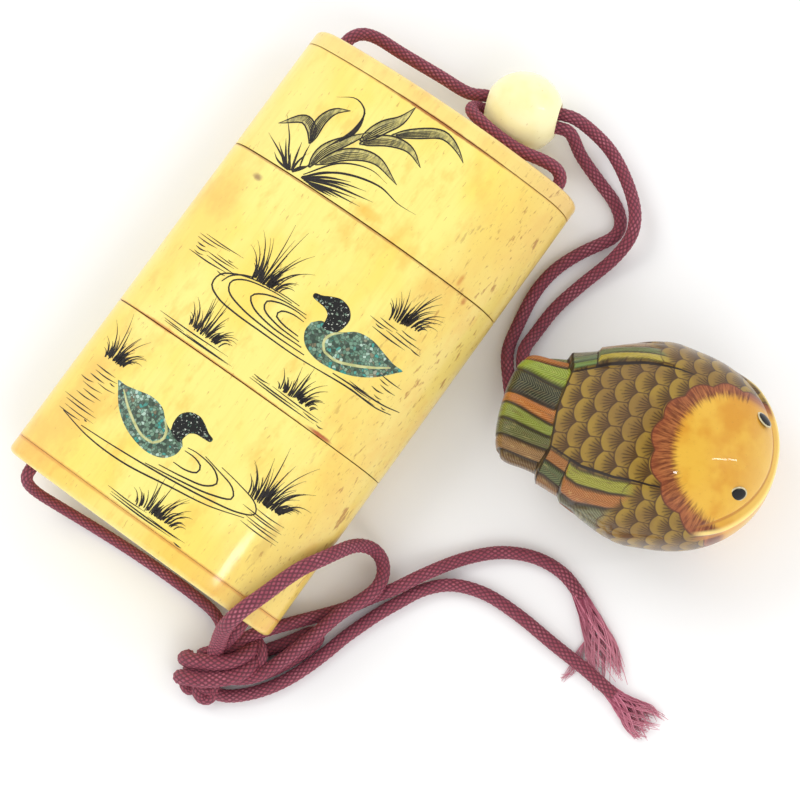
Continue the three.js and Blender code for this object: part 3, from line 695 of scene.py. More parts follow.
def engraving(ink, wash, shell, fleck, pale):
    """Water plants, ripples and two ducks, each a generic figure cut by strokes."""
    chance = random.Random(11)
    lines, shade, bodies, heads, marks = (bmesh.new() for _ in range(5))

    # Long-leaved plant on the lid
    for leaf, width in (
        ([(-11.4, 21.0), (-11.0, 24.4), (-8.2, 28.6), (-6.4, 31.0)], 1.9),
        ([(-7.2, 28.8), (-5.4, 32.6), (-3.8, 35.0), (-3.1, 38.0)], 2.1),
        ([(-3.6, 32.2), (-0.6, 34.6), (3.0, 36.8), (6.0, 36.2), (8.0, 35.0)], 1.6),
        ([(-7.0, 28.4), (-3.6, 31.2), (0.0, 32.0), (3.1, 30.6)], 1.7),
        ([(-10.8, 21.9), (-7.6, 25.9), (-3.4, 27.7), (1.7, 26.3)], 1.9),
        ([(-13.6, 24.2), (-14.4, 25.9), (-16.6, 27.1), (-20.0, 24.4)], 1.5),
        ([(-13.5, 24.4), (-14.3, 28.0), (-13.4, 30.6), (-11.3, 32.0)], 1.6),
    ):
        thin_leaf(lines, shade, leaf, width)
    for blade, width in (
        ([(-11.0, 25.0), (-9.1, 29.6), (-9.3, 33.0), (-11.7, 34.1), (-14.6, 32.7)], 0.5),
        ([(-9.9, 27.0), (-8.7, 29.6), (-8.9, 32.0), (-9.8, 33.6)], 0.8),
        ([(-12.6, 20.2), (-13.2, 22.4), (-13.5, 24.4)], 0.4),
        ([(-11.4, 19.2), (-6.9, 22.8), (-0.4, 24.6), (3.6, 24.0), (6.8, 24.2)], 0.5),
        ([(-11.4, 19.6), (-7.6, 24.2), (-3.0, 26.0), (0.4, 25.6)], 0.4),
        ([(-11.4, 19.0), (-8.0, 21.2), (-4.4, 22.7)], 0.6), ([(-11.2, 18.95), (-8.0, 20.6), (-4.2, 21.8)], 0.6),
        ([(-10.8, 18.9), (-7.2, 19.6), (-3.6, 20.0), (-1.0, 20.3)], 0.5),
        ([(-10.4, 18.9), (-7.0, 19.3), (-4.6, 19.5)], 0.5),
        ([(-11.0, 19.0), (-6.4, 20.7), (-2.4, 21.5), (0.3, 22.0)], 0.6),
        ([(-9.8, 18.85), (-7.6, 18.95), (-5.6, 19.1)], 0.5), ([(-11.2, 19.3), (-8.6, 21.8), (-5.6, 23.4)], 0.5),
        ([(-10.6, 19.1), (-6.0, 21.6), (-1.6, 22.8)], 0.5), ([(-10.2, 19.0), (-5.6, 20.2), (-2.2, 21.0)], 0.5),
        ([(-13.6, 19.0), (-15.8, 21.6), (-17.0, 23.4), (-19.6, 26.2)], 0.4),
        ([(-13.8, 19.0), (-17.2, 20.8), (-20.4, 22.3)], 0.4), ([(-13.4, 19.1), (-14.2, 21.6), (-14.8, 23.8)], 0.5),
        ([(-14.0, 18.9), (-16.4, 19.4), (-17.6, 20.2)], 0.5), ([(-13.3, 19.1), (-13.4, 20.8), (-13.0, 22.6)], 0.5),
        ([(-13.7, 19.0), (-16.0, 20.4), (-18.0, 21.9)], 0.5), ([(-13.1, 19.0), (-11.9, 20.6), (-11.2, 22.2)], 0.5),
        ([(-14.2, 18.9), (-15.6, 20.6), (-17.4, 23.0)], 0.5), ([(-13.2, 19.0), (-12.6, 20.2), (-11.8, 21.0)], 0.6),
        ([(-13.6, 19.0), (-14.6, 20.2), (-15.2, 21.4)], 0.7), ([(-13.9, 18.9), (-15.0, 19.4), (-16.0, 20.0)], 0.6),
    ):
        cut_stroke(lines, blade, 0.72 * width, root=0.5, fullest=0.3)

    # Middle section: a duck facing left, its ripples, four tufts of grass
    duck(bodies, heads, marks, (9.9, 1.0), -1, math.radians(10), (10.5, 0.9), math.radians(5), 0.94)
    for wave in (
        [(8.4, -3.9), (4.3, -4.2), (-1.0, -4.2), (-7.0, -4.1), (-10.7, -3.6), (-12.8, -2.4), (-12.7, -0.5),
         (-10.7, 0.9), (-7.2, 1.9), (-2.4, 2.4), (0.6, 2.4)],
        [(5.6, -3.3), (-0.6, -3.4), (-6.6, -2.9), (-9.9, -1.8), (-10.5, -0.4), (-9.0, 0.9), (-4.4, 1.9), (-0.6, 2.1)],
        [(4.6, -2.6), (-1.3, -2.6), (-5.3, -1.7), (-6.5, -0.5), (-5.4, 0.6), (-2.3, 1.6), (2.3, 1.9)],
        [(3.8, -2.1), (-0.6, -1.9), (-3.6, -1.0), (-4.0, 0.1), (-2.4, 1.0), (0.5, 1.5), (2.6, 1.4)],
        [(3.2, -1.5), (0.0, -1.3), (-1.5, -0.7), (-1.2, 0.2), (0.6, 0.8), (2.6, 0.8)],
        [(8.4, -3.9), (14.0, -3.4), (18.9, -3.4), (21.3, -2.9)],
        [(10.7, -3.0), (15.4, -2.7), (19.6, -2.4), (22.1, -1.8)],
        [(-11.8, -1.2), (-11.2, 0.2), (-9.8, 1.3), (-7.6, 2.2)],
    ):
        cut_stroke(lines, wave, 0.27, root=0.6, tip=0.4, fullest=0.5)
    for grass in (
            ((-8.4, 1.9), (-3.4, 2.4), 9.6, 24), ((-11.9, -9.6), (-5.6, -9.6), 6.0, 22),
            ((5.6, -9.6), (11.2, -9.4), 5.0, 22), ((12.6, 8.8), (17.2, 10.0), 7.0, 22)):
        tuft(lines, chance, *grass)
    for water in (
            ((-17.4, -10.3), (-1.6, -10.9), 3, 0.4), ((0.6, -10.0), (14.6, -10.0), 3, 0.4),
            ((9.4, 8.0), (20.4, 9.0), 4, 0.6, 0.5), ((-20.4, 3.9), (-9.8, 2.2), 7, 0.6, 0.5),
            ((12.6, -2.4), (21.0, -1.6), 3, 0.5, 0.8), ((15.8, 1.2), (20.8, 2.2), 4, 0.8, 0.8)):
        water_lines(lines, chance, *water)

    # Bottom section: a duck facing right, its ripples, three tufts of grass
    duck(bodies, heads, marks, (-7.3, -25.4), 1, math.radians(-12), (-7.0, -25.6), math.radians(-8), 0.9)
    for wave in (
        [(-0.9, -28.0), (1.4, -27.9), (3.0, -27.2), (2.9, -26.2), (1.4, -25.6), (-0.5, -25.6)],
        [(-2.5, -29.6), (1.6, -29.0), (5.2, -28.1), (6.4, -26.8), (5.0, -25.4), (1.2, -24.8), (-0.4, -25.0)],
        [(-4.4, -30.6), (1.1, -29.8), (6.6, -28.7), (9.6, -27.3), (8.7, -26.0), (5.0, -25.0), (2.6, -24.5)],
        [(-16.4, -31.6), (-10.1, -31.3), (-0.5, -30.5), (6.8, -29.5), (11.7, -28.4), (13.7, -27.2), (12.8, -25.9),
         (9.0, -24.9), (5.6, -24.4)],
        [(-20.4, -31.3), (-14.3, -32.4), (-7.3, -32.5), (1.1, -31.3), (7.2, -30.3), (12.7, -28.6)],
    ):
        cut_stroke(lines, wave, 0.27, root=0.5, tip=0.4, fullest=0.5)
    for grass in (
            ((-20.2, -20.9), (-16.4, -20.6), 7.0, 20), ((-1.8, -36.3), (5.2, -36.0), 5.6, 22),
            ((11.2, -25.5), (17.0, -25.0), 9.4, 26)):
        tuft(lines, chance, *grass)
    for water in (
            ((-22.4, -22.8), (-14.8, -21.8), 11, 0.85, 0.4), ((-8.0, -36.6), (8.8, -37.1), 3, 0.36),
            ((10.8, -26.6), (19.6, -25.6), 6, 0.55, 0.5)):
        water_lines(lines, chance, *water)

    for bm, name, material, slot in (
            (lines, "engraved_lines", ink, "bone"), (shade, "leaf_wash", wash, "bone"),
            (marks, "wing_lines", pale, "pale_bone")):
        piece = fitted(piece_from(bm, name, material, 180), slot)
        depth = piece.modifiers.new("depth", "SOLIDIFY")
        depth.thickness = 0.03 * mm
        depth.offset = -1
    fitted(piece_from(bodies, "shell_ducks", shell, 30), "bone")
    fitted(piece_from(heads, "dark_heads", fleck, 30), "bone")


# Carved bird

bird_half = 42.7 / 2
bird_width = 31.2
bird_height = 24.0
bird_place = (53.84, 15.75)
bird_turn = math.radians(19.5)
bird_roll = math.radians(-8)
waist = 0.07 * 2 * bird_half
# Mouth of the cord hole under the tail, and how steeply the hole slants up from it
hole_place = (-14.95, 1.84, 5.52)
hole_slant = math.radians(25)
belly_height = 0.49 * bird_height
tail_blunt = 0.17 * 2 * bird_half
wing_rise = 1.2
wing_tip_rise = 0.6
feather_step = 0.6
bill_height = 14.6

# Feather colours as they are seen, each part from 0 to 255: the tail's from right to left, each wing's outwards
tail_paint = [
    (104, 74, 44), (136, 96, 54), (84, 86, 44), (122, 132, 44), (174, 98, 34), (36, 40, 26), (134, 152, 42),
    (172, 96, 34), (120, 124, 92),
]
right_wing_paint = [(142, 140, 44), (162, 94, 42), (102, 104, 76), (122, 104, 76), (118, 98, 66)]
left_wing_paint = [(176, 156, 56), (98, 112, 70), (164, 138, 118), (158, 134, 112), (130, 108, 78)]
right_tip_paint = [(150, 88, 34), (66, 78, 42), (136, 92, 52), (106, 94, 66), (118, 98, 66)]
left_tip_paint = [(94, 126, 64), (92, 112, 82), (120, 116, 100), (118, 104, 80), (118, 98, 66)]

# Places across the tail where one feather meets the next, at its end and at its root
feather_ends = (-11.0, -8.2, -6.1, -3.3, -0.4, 1.4, 6.1, 8.0, 9.5, 12.0)
feather_roots = (-11.5, -9.2, -7.1, -5.0, -3.0, -0.3, 3.6, 7.8, 8.7, 12.0)


def eased(value, low, high):
    share = np.clip((np.asarray(value, float) - low) / (high - low), 0, 1)
    return share * share * (3 - 2 * share)


def body_section(lean):
    """Place along the body, and half its width and height there, from the tail at -1 to the head at 1."""
    front = np.maximum(lean, 0)
    rear = np.minimum(lean, 0)
    round_off = np.sqrt(np.maximum(0, 1 - front ** 2.25))
    x_rear = waist + (bird_half + waist) * rear
    fullness = 1 - eased((waist - x_rear) / (0.93 * bird_half), 0, 1)
    blunt = np.clip((-x_rear - (bird_half - tail_blunt)) / tail_blunt, 0, 1)
    end = np.sqrt(np.maximum(0, 1 - blunt ** 6))
    under_wing = wing_rise * eased(-rear, 0, 0.4)
    ahead = lean >= 0
    x = np.where(ahead, waist + (bird_half - waist) * front, x_rear)
    half = np.where(ahead, bird_width / 2 * round_off, (bird_width / 2 - under_wing) * (0.66 + 0.34 * fullness) * end)
    high = 0.51 * bird_height * np.where(ahead, round_off, (0.44 + 0.56 * fullness) * end)
    return x, half, high


def squared(value):
    return np.sign(value) * np.abs(value) ** 0.87


def girth_walk(half, high, azimuth, count=28):
    """Distance walked over the body from its top line to each place, positive towards the left side."""
    turn = np.pi / 2 + (azimuth - np.pi / 2)[:, None] * np.linspace(0, 1, count)[None]
    y = half[:, None] * squared(np.cos(turn))
    z = high[:, None] * squared(np.sin(turn))
    return np.hypot(np.diff(y, axis=1), np.diff(z, axis=1)).sum(1) * np.sign(np.cos(azimuth))


def bird_wings(x, y, z):
    """How far the wings stand out, and how far inside the edge of its wing each place is."""
    along, across = x / bird_half, np.abs(y) / bird_half
    inner = np.interp(along, [-0.64, -0.56, -0.32, -0.08, 0.17, 0.4, 0.7], [0.27, 0.29, 0.39, 0.435, 0.44, 0.42, 0.6])
    rear_full = np.interp(across, [0.355, 0.58, 0.95], [-0.4, -0.44, -0.46])
    rear_tip = np.interp(across, [0.29, 0.5, 0.95], [-0.56, -0.64, -0.66])
    low = (z - 0.22 * bird_height) / bird_half
    inside_full = np.minimum(np.minimum(across - inner, along - rear_full), low) * bird_half
    inside_tip = np.minimum(np.minimum(across - inner, along - rear_tip), low) * bird_half
    fade = 1 - eased(along, -0.3, 0.32)
    out = np.maximum(wing_rise * eased(inside_full, -0.22, 0.22), wing_tip_rise * eased(inside_tip, -0.22, 0.22))
    return out * fade, inside_full, inside_tip, across - inner


def feather_strip(x, y):
    """Which tail feather a place is on, as a number that grows by one from each feather to the next."""
    share = np.clip((x + 20.5) / 7.5, 0, 1)
    lines = np.array(feather_ends)[:, None] * (1 - share) + np.array(feather_roots)[:, None] * share
    strip = np.zeros_like(y)
    for k in range(len(lines) - 1):
        strip += np.clip((y - lines[k]) / (lines[k + 1] - lines[k]), 0, 1)
    return strip


def to_linear(colour):
    share = np.asarray(colour, float) / 255
    return np.where(share <= 0.04045, share / 12.92, ((share + 0.055) / 1.055) ** 2.4)


def feather_paint(x, y, strip, wing_strip, in_wing, in_tip, in_tail, on_wing):
    """The colour of the feather that each place is on, how far inside the feathers it is, and which feather."""
    front = np.interp(wing_strip, [0, 1, 2, 3], [1.2, 1.2, -0.8, -3.0])
    wing_feathers = np.minimum(np.maximum(in_wing, in_tip), 0.14 * (front - x))
    tail_feathers = in_tail * (1 - on_wing) - 0.6 * on_wing
    wing_on_top = wing_feathers > tail_feathers
    paint = to_linear(tail_paint)[np.clip(strip.astype(int), 0, 8)]
    kind = np.clip(wing_strip.astype(int), 0, 4)
    for side, full, tip in ((1, left_wing_paint, left_tip_paint), (-1, right_wing_paint, right_tip_paint)):
        wing_colour = np.where((in_wing > 0)[:, None], to_linear(full)[kind], to_linear(tip)[kind])
        paint = np.where((wing_on_top & (np.sign(y) == side))[:, None], wing_colour, paint)
    return paint, np.maximum(wing_feathers, tail_feathers), np.where(wing_on_top, wing_strip + 20, strip)


def set_down(x, y, z):
    """Places on the bird, given along, across and above it, as places on the floor's axes."""
    c, s = math.cos(bird_roll), math.sin(bird_roll)
    y, z = y * c - (z - belly_height) * s, belly_height + y * s + (z - belly_height) * c
    c, s = math.cos(bird_turn), math.sin(bird_turn)
    return bird_place[0] + x * c - y * s, bird_place[1] + x * s + y * c, z


def carved_bird(material):
    """A smooth egg of a body, pushed out and in to its wings, tail, grooves, bill and cord hole, then painted."""
    bm = bmesh.new()
    made = bmesh.ops.create_uvsphere(bm, u_segments=380, v_segments=236, radius=1)["verts"]
    ball = np.array([vert.co for vert in made])
    lean, azimuth = ball[:, 2], np.arctan2(ball[:, 1], ball[:, 0])
    azimuth = np.where(azimuth < -np.pi / 2, azimuth + 2 * np.pi, azimuth)
    x, half, high = body_section(lean)
    y = half * squared(np.cos(azimuth))
    z = belly_height + high * squared(np.sin(azimuth))
    walk = girth_walk(half, high, azimuth)
    rise, in_wing, in_tip, past_inner = bird_wings(x, y, z)

    # Feathers on the wings follow the wing's inner edge; a shallow groove parts each from the next.
    strip_width = np.where(y > 0, 1.25, 1.75)
    wing_strip = np.clip(past_inner * bird_half / strip_width, 0, 4.99)
    near_line = np.abs(wing_strip - np.rint(wing_strip)) * strip_width
    wing_groove = (1 - eased(near_line, 0.08, 0.3)) * (wing_strip > 0.5) * (1 - eased(x, -3.0, 1.0))
    on_wing = np.maximum(eased(in_wing, 0, 0.3), eased(in_tip, 0, 0.3))
    rise = rise - 0.28 * wing_groove * on_wing

    # The tail lies a step below the back.
    tail_root = np.interp(np.abs(y), [0, 6.4, 12.8], [-12.8, -12.2, -14.1])
    in_tail = np.minimum(tail_root - x, z - 0.3 * bird_height)
    strip = feather_strip(x, y)
    tail_line = np.abs(strip - np.rint(strip)) * 1.6
    tail_groove = (1 - eased(tail_line, 0.08, 0.32)) * eased(in_tail, 0, 0.4)
    on_tail = eased(in_tail, -0.2, 0.2) * (1 - on_wing)
    rise = rise - (feather_step + 0.42 * tail_groove) * on_tail

    # A ridge runs round the face where the bill closes.
    from_bill = z - bill_height - 0.16 * np.maximum(0, -y)
    bill = (0.6 * np.exp(-(from_bill / 0.8) ** 2) - 0.4 * np.exp(-((from_bill - 1.2) / 0.45) ** 2)) * eased(
        x / bird_half, 0.5, 0.75)
    sine = np.sqrt(np.maximum(0, 1 - lean ** 2))
    out = rise * np.minimum(1, 3 * sine)
    z = belly_height + (high + out) * squared(np.sin(azimuth))
    y = (half + out + bill) * squared(np.cos(azimuth))
    x = x + 0.6 * bill

    # The hole for both strands slants up under the tail.
    axis = np.array([math.cos(hole_slant), 0, math.sin(hole_slant)])
    offset = np.stack([x, y, z], 1) - np.array(hole_place)
    along_hole = offset @ axis
    radial = np.linalg.norm(offset - along_hole[:, None] * axis, axis=1)
    push = eased(2.4 - radial, 0, 0.4) * np.maximum(0, 3.5 - along_hole) * (along_hole < 3.5)
    x, z = x + push * axis[0], z + push * axis[2]

    # Painted regions
    shift = 0.55 * np.maximum(0, 12 - z)
    behind = np.minimum(x - 14.5 - shift, 0)
    head = (1 - np.hypot(behind / 9.2, (y + 1.5) / 9.8)) * 9.5
    turn = np.arctan2(y + 1.8, -behind + 0.01)
    collar = (1 - np.hypot(behind / 12.3, (y + 1.8) / 11.6)) * 12 + 0.8 * (np.abs(np.cos(7.5 * turn)) - 0.55)
    paint, feather_edge, strip = feather_paint(x, y, strip, wing_strip, in_wing, in_tip, in_tail, on_wing)

    places = np.stack(set_down(x, y, z), 1)
    places[:, 2] = np.maximum(places[:, 2], 0)
    for vert, place in zip(made, places * mm):
        vert.co = place
    bmesh.ops.recalc_face_normals(bm, faces=bm.faces[:])
    piece = piece_from(bm, "carved_bird", material, 180)
    mesh = piece.data
    fields = {
        "place": ("FLOAT_VECTOR", "vector", np.stack([x, walk, z], 1)),
        "paint": ("FLOAT_COLOR", "color", np.concatenate([paint, np.ones((len(paint), 1))], 1)),
        "feather_edge": ("FLOAT", "value", np.clip(feather_edge, -2, 2)),
        "strip": ("FLOAT", "value", strip),
        "bill_line": ("FLOAT", "value", np.clip(from_bill, -4, 4)),
        "wing_edge": ("FLOAT", "value", np.clip(in_wing, -2, 2)),
        "tip_edge": ("FLOAT", "value", np.clip(in_tip, -2, 2)),
        "tail_edge": ("FLOAT", "value", np.clip(in_tail, -2, 2)),
        "head": ("FLOAT", "value", head),
        "collar": ("FLOAT", "value", collar),
        "collar_turn": ("FLOAT", "value", turn),
    }
    for name, (kind_of, key, values) in fields.items():
        mesh.attributes.new(name, kind_of, "POINT").data.foreach_set(key, values.astype(np.float32).ravel())
    return fitted(piece, "lacquered_nut", "netsuke_bird")


def inset_eyes(pupil_finish, ring_finish):
    """Each eye is a polished dark dome in a pale ring."""
    for name, finish, long, wide, stand in (
            ("eye_rings", ring_finish, 1.5, 1.2, 0.2), ("eye_pupils", pupil_finish, 1.32, 1.04, 0.34)):
        bm = bmesh.new()
        for place, outward in (((16.5, -6.1, 19.3), (0.52, -0.5, 0.7)), ((17.5, 6.3, 18.6), (0.56, 0.5, 0.66))):
            centre = Vector(set_down(*place))
            facing = (Vector(set_down(*(p + o for p, o in zip(place, outward)))) - centre).normalized()
            ahead = Vector(set_down(place[0] + 1, *place[1:])) - centre
            ahead = (ahead - facing * ahead.dot(facing)).normalized()
            turn = Matrix((ahead, facing.cross(ahead), facing)).transposed().to_4x4()
            eye = bmesh.ops.create_uvsphere(bm, u_segments=32, v_segments=16, radius=1)["verts"]
            size = Matrix.Diagonal((long * mm, wide * mm, stand * mm, 1))
            bmesh.ops.transform(bm, verts=eye, matrix=Matrix.Translation(centre * mm) @ turn @ size)
        fitted(piece_from(bm, name, finish, 180), "lacquered_nut")


# Finishes

sheen_tint = (226, 150, 172)


def shade(seen):
    """A colour as it is seen, each part from 0 to 255, made ready for a shader."""
    return (*(float(part) for part in to_linear(seen)), 1.0)


def node(tree, kind, inputs=(), **settings):
    """A shader node with its settings, and its inputs by name or place: plain values, or fields to link."""
    made = tree.nodes.new("ShaderNode" + kind)
    for key, value in settings.items():
        setattr(made, key, value)
    for key, value in dict(inputs).items():
        if isinstance(value, Field):
            tree.links.new(value.socket, made.inputs[key])
        else:
            made.inputs[key].default_value = value
    return made


class Field:
    """A number, colour or place that changes over a piece. What is done to it is done by shader nodes."""

    def __init__(self, made, output=0):
        self.socket = made.outputs[output]

    def then(self, kind, inputs, output=0, **settings):
        return Field(node(self.socket.id_data, kind, inputs, **settings), output)

    def maths(self, operation, *others):
        return self.then("Math", enumerate((self, *others)), operation=operation)

    def __add__(self, other):
        return self.maths("ADD", other)

    def __sub__(self, other):
        return self.maths("SUBTRACT", other)

    def __mul__(self, other):
        return self.maths("MULTIPLY", other)

    def __truediv__(self, other):
        return self.maths("DIVIDE", other)

    def __abs__(self):
        return self.maths("ABSOLUTE")

    def wave(self):
        """The height of a wave that touches nought at each multiple of pi."""
        return abs(self.maths("SINE"))

    def reach(self, other):
        """How far away a place is that lies this far one way and the other that far across it."""
        return (self.maths("POWER", 2.0) + other.maths("POWER", 2.0)).maths("SQRT")

    def rising(self, low, high, start=0.0, end=1.0):
        """A share that goes smoothly from start to end as the value goes from low to high."""
        return self.then("MapRange", {
            "Value": self, "From Min": low, "From Max": high, "To Min": start, "To Max": end,
        }, interpolation_type="SMOOTHSTEP")

    def either(self, first, second):
        """The first number where this share is 0 and the second where it is 1."""
        return self.then("Mix", {0: self, 2: first, 3: second}, data_type="FLOAT")

    def mixed(self, first, second):
        """The first colour where this share is 0 and the second where it is 1."""
        colours = {
            place: tint if isinstance(tint, Field) else shade(tint) for place, tint in ((6, first), (7, second))}
        return self.then("Mix", {0: self, **colours}, 2, data_type="RGBA")

    def parts(self, kind="SeparateXYZ"):
        split = node(self.socket.id_data, kind, {0: self})
        return [Field(split, place) for place in range(3)]


def layered(tone, *layers):
    """Lays colours over a tone, one after another, each by its own share."""
    for share, tint in layers:
        tone = share.mixed(tone, tint)
    return tone


class Finish:
    """A material in the making, with short ways to fill its node tree."""

    def __init__(self, name, roughness, coat=0.0, others=()):
        self.made = bpy.data.materials.new(name)
        self.made.use_nodes = True
        self.tree = self.made.node_tree
        self.shader = self.tree.nodes["Principled BSDF"]
        settings = {"Roughness": roughness, "Coat Weight": coat, "Coat Roughness": 0.08, **dict(others)}
        for key, value in settings.items():
            self.shader.inputs[key].default_value = value

    def field(self, kind, inputs=(), output=0, **settings):
        return Field(node(self.tree, kind, inputs, **settings), output)

    def places(self, stretch=(1, 1, 1), turn=0.0, centre=(0, 0, 0)):
        """Places on the piece in millimetres, from a centre, turned about the upright axis and stretched."""
        own = self.field("TexCoord", output="Object")
        centred = self.field("VectorMath", {0: own, 1: tuple(part * mm for part in centre)}, operation="SUBTRACT")
        return self.field("Mapping", {
            "Vector": centred, "Rotation": (0, 0, turn), "Scale": tuple(1000 * part for part in stretch)})

    def noise(self, scale, detail=2.0, roughness=0.5, stretch=(1, 1, 1), turn=0.0, centre=(0, 0, 0), place=None):
        return self.field("TexNoise", {
            "Vector": place or self.places(stretch, turn, centre), "Scale": scale, "Detail": detail,
            "Roughness": roughness}, "Fac")

    def stain(self, centre, size, ragged=0.5):
        """A mark round a place on the face, in millimetres, with a ragged edge."""
        place = self.places(tuple(1 / part for part in size), centre=centre)
        away = self.field("VectorMath", {0: place}, "Value", operation="LENGTH")
        return (away + self.noise(1.1, 3.0) * ragged).rising(1.0 + ragged / 2, 0.35 + ragged / 2)

    def colour(self, tone):
        self.tree.links.new(tone.socket, self.shader.inputs["Base Color"])

    def relief(self, height, strength, depth):
        bump = self.field("Bump", {"Strength": strength, "Distance": depth * mm, "Height": height})
        self.tree.links.new(bump.socket, self.shader.inputs["Normal"])


def two_tone(name, gloss, grain, span, first, second, others=()):
    """A plain finish that drifts between two colours."""
    finish = Finish(name, *gloss, others)
    drift = finish.noise(*grain)
    finish.colour((drift.rising(*span) if span else drift).mixed(first, second))
    return finish.made


def old_bone(name, pale, warm, honey, tan):
    """Polished bone gone yellow: honey clouds, a tan edge with rows of short pores, grain and a few stains. The tan
    is partly the bone's own colour and partly painted shade on the right-hand side.
    """
    finish = Finish(name, 0.3, 0.3)
    clouds = finish.noise(0.06, 4.0, 0.55, (1, 0.55, 1), 0.3, (8, 0, 0))
    deep = finish.noise(0.085, 5.0, 0.62, (1, 0.6, 1), -0.4, (40, 17, 0))
    mottle = finish.noise(0.3, 4.0, 0.6, (1, 0.45, 1), 0.15, (3, 5, 0))
    grain = finish.noise(1.3, 4.0, 0.65, (1, 0.05, 1))
    # Tan towards the sides, stronger on the right than on the left: partly the bone's own colour, partly painted
    # shade on the side turned from the light.
    edge = finish.places().parts()[0] + finish.noise(0.14, 3.0, stretch=(1, 0.3, 1)) * 16.0
    right_tan_and_shade = edge.rising(17, 30)
    left_side = edge.rising(-6, -16, 0, 0.5)
    tone = layered(
        clouds.rising(0.42, 0.62).mixed(pale, warm),
        (deep.rising(0.5, 0.7, 0, 0.85), honey),
        (mottle.rising(0.52, 0.72, 0, 0.55), honey),
        (grain.rising(0.45, 0.75, 0, 0.22), honey),
        ((right_tan_and_shade + left_side) * 0.5, tan))
    for turn, scale, low, strength, drawn in (
            (-0.45, 1.1, 0.6, 0.75, right_tan_and_shade), (-0.2, 2.3, 0.64, 0.5, 0.9), (-0.3, 3.4, 0.62, 0.6, right_tan_and_shade)):
        pores = finish.noise(scale, 3.0, 0.6, (1, 0.25, 1), turn)
        tone = (pores.rising(low, low + 0.09, 0, strength) * drawn).mixed(tone, (164, 108, 50))
    for centre, size, strength, dark in (
            ((-17.4, 15.5, 17), (1.3, 0.8, 4), 0.75, (128, 76, 62)),
            ((14.6, -11.8, 17), (3.0, 0.45, 4), 0.9, (168, 66, 34)),
            ((-16.0, -12.1, 17), (5.0, 0.5, 6), 0.6, (196, 118, 48)),
            ((20.2, 17.8, 17), (0.6, 1.2, 4), 0.8, (176, 84, 34)),
            ((18.0, 20.2, 17), (0.5, 1.6, 4), 0.6, (196, 116, 50)),
            ((0.6, 20.2, 17), (3.4, 1.4, 4), 0.5, (238, 176, 60)),
            ((17.5, -30.0, 16), (1.2, 5.0, 6), 0.25, (170, 112, 50)),
            ((2.0, 38.25, 17), (15, 0.42, 12), 0.9, (150, 70, 40)),
            ((0.0, 38.25, 9), (40, 0.3, 30), 0.5, (196, 128, 60)),
            ((-6.0, 18.4, 12), (34, 0.35, 30), 0.7, (168, 100, 48)),
            ((-8.0, -12.1, 12), (34, 0.32, 30), 0.7, (190, 106, 44)),
            ((0.0, -38.2, 9), (60, 0.5, 30), 0.6, (206, 128, 52)),
            ((0.0, -42.2, 9), (60, 2.0, 30), 0.9, (244, 226, 136))):
        tone = (finish.stain(centre, size) * strength).mixed(tone, dark)
    finish.colour(tone)
    finish.relief(grain + finish.noise(2.2, 3.0) * 0.7, 0.2, 0.08)
    return finish.made


def turned_bone():
    finish = Finish("turned_bone", 0.22, 0.4)
    specks = finish.noise(2.2, 2.0, stretch=(1, 0.3, 1), turn=0.35)
    finish.colour(layered(
        finish.noise(0.12, 3.0).rising(0.4, 0.75).mixed((252, 244, 190), (246, 230, 158)),
        (specks.rising(0.68, 0.76, 0, 0.3), (196, 160, 96))))
    finish.relief(finish.noise(2.2, 2.0, stretch=(0.1, 1, 1), turn=-bead_turn), 0.1, 0.04)
    return finish.made


def braided_silk():
    """Burgundy silk braid: each stitch has a painted highlight on its crown and painted shade where it goes under the
    next.
    """
    finish = Finish("braided_silk", 0.62, 0.0, {
        "Sheen Weight": 0.35, "Sheen Roughness": 0.4, "Sheen Tint": shade(sheen_tint)})
    around, walked, _ = finish.field("UVMap", uv_map="UVMap").parts()
    around, along = around * float(braid_strands), walked / braid_pitch
    one, other = around + along, around - along
    rows = one.maths("FLOOR") + other.maths("FLOOR")
    odd = rows.maths("FLOORED_MODULO", 2.0).maths("GREATER_THAN", 0.5)
    bulge = (one * math.pi).wave() * (other * math.pi).wave()
    plies = (odd.either(one.maths("FRACT"), other.maths("FRACT")) * (5 * math.pi)).wave()
    highlight_breakup = finish.noise(0.35, 3.0)
    patches = finish.noise(0.9, 3.0, 0.6, centre=(5, 9, 0))
    # Painted shade in the valleys between stitches, lighter crowns, and a paler painted highlight on the crowns that
    # the noise breaks up.
    finish.colour(layered(
        bulge.rising(0.05, 0.85).mixed((72, 14, 30), (156, 60, 78)),
        (bulge.rising(0.45, 1.0) * highlight_breakup.rising(0.4, 0.75), (194, 112, 128)),
        (patches.rising(0.5, 0.7, 0, 0.4), (84, 22, 38)),
        (odd * 0.22, (96, 26, 52)),
        (plies * 0.2, (190, 116, 134))))
    finish.relief(bulge + plies * 0.35, 0.6, 0.12)
    return finish.made


def loose_silk():
    """The silk of the frayed ends, paler from yarn to yarn and towards the tips."""
    finish = Finish("loose_silk", 0.7, 0.0, {"Sheen Weight": 0.4, "Sheen Tint": shade(sheen_tint)})
    tint, walked, _ = finish.field("UVMap", uv_map="UVMap").parts()
    finish.colour(layered(
        tint.mixed((134, 50, 74), (206, 126, 146)), (walked.rising(2.0, 11.0, 0, 0.45), (228, 160, 174))))
    finish.relief(finish.noise(9.0, 2.0), 0.3, 0.03)
    return finish.made


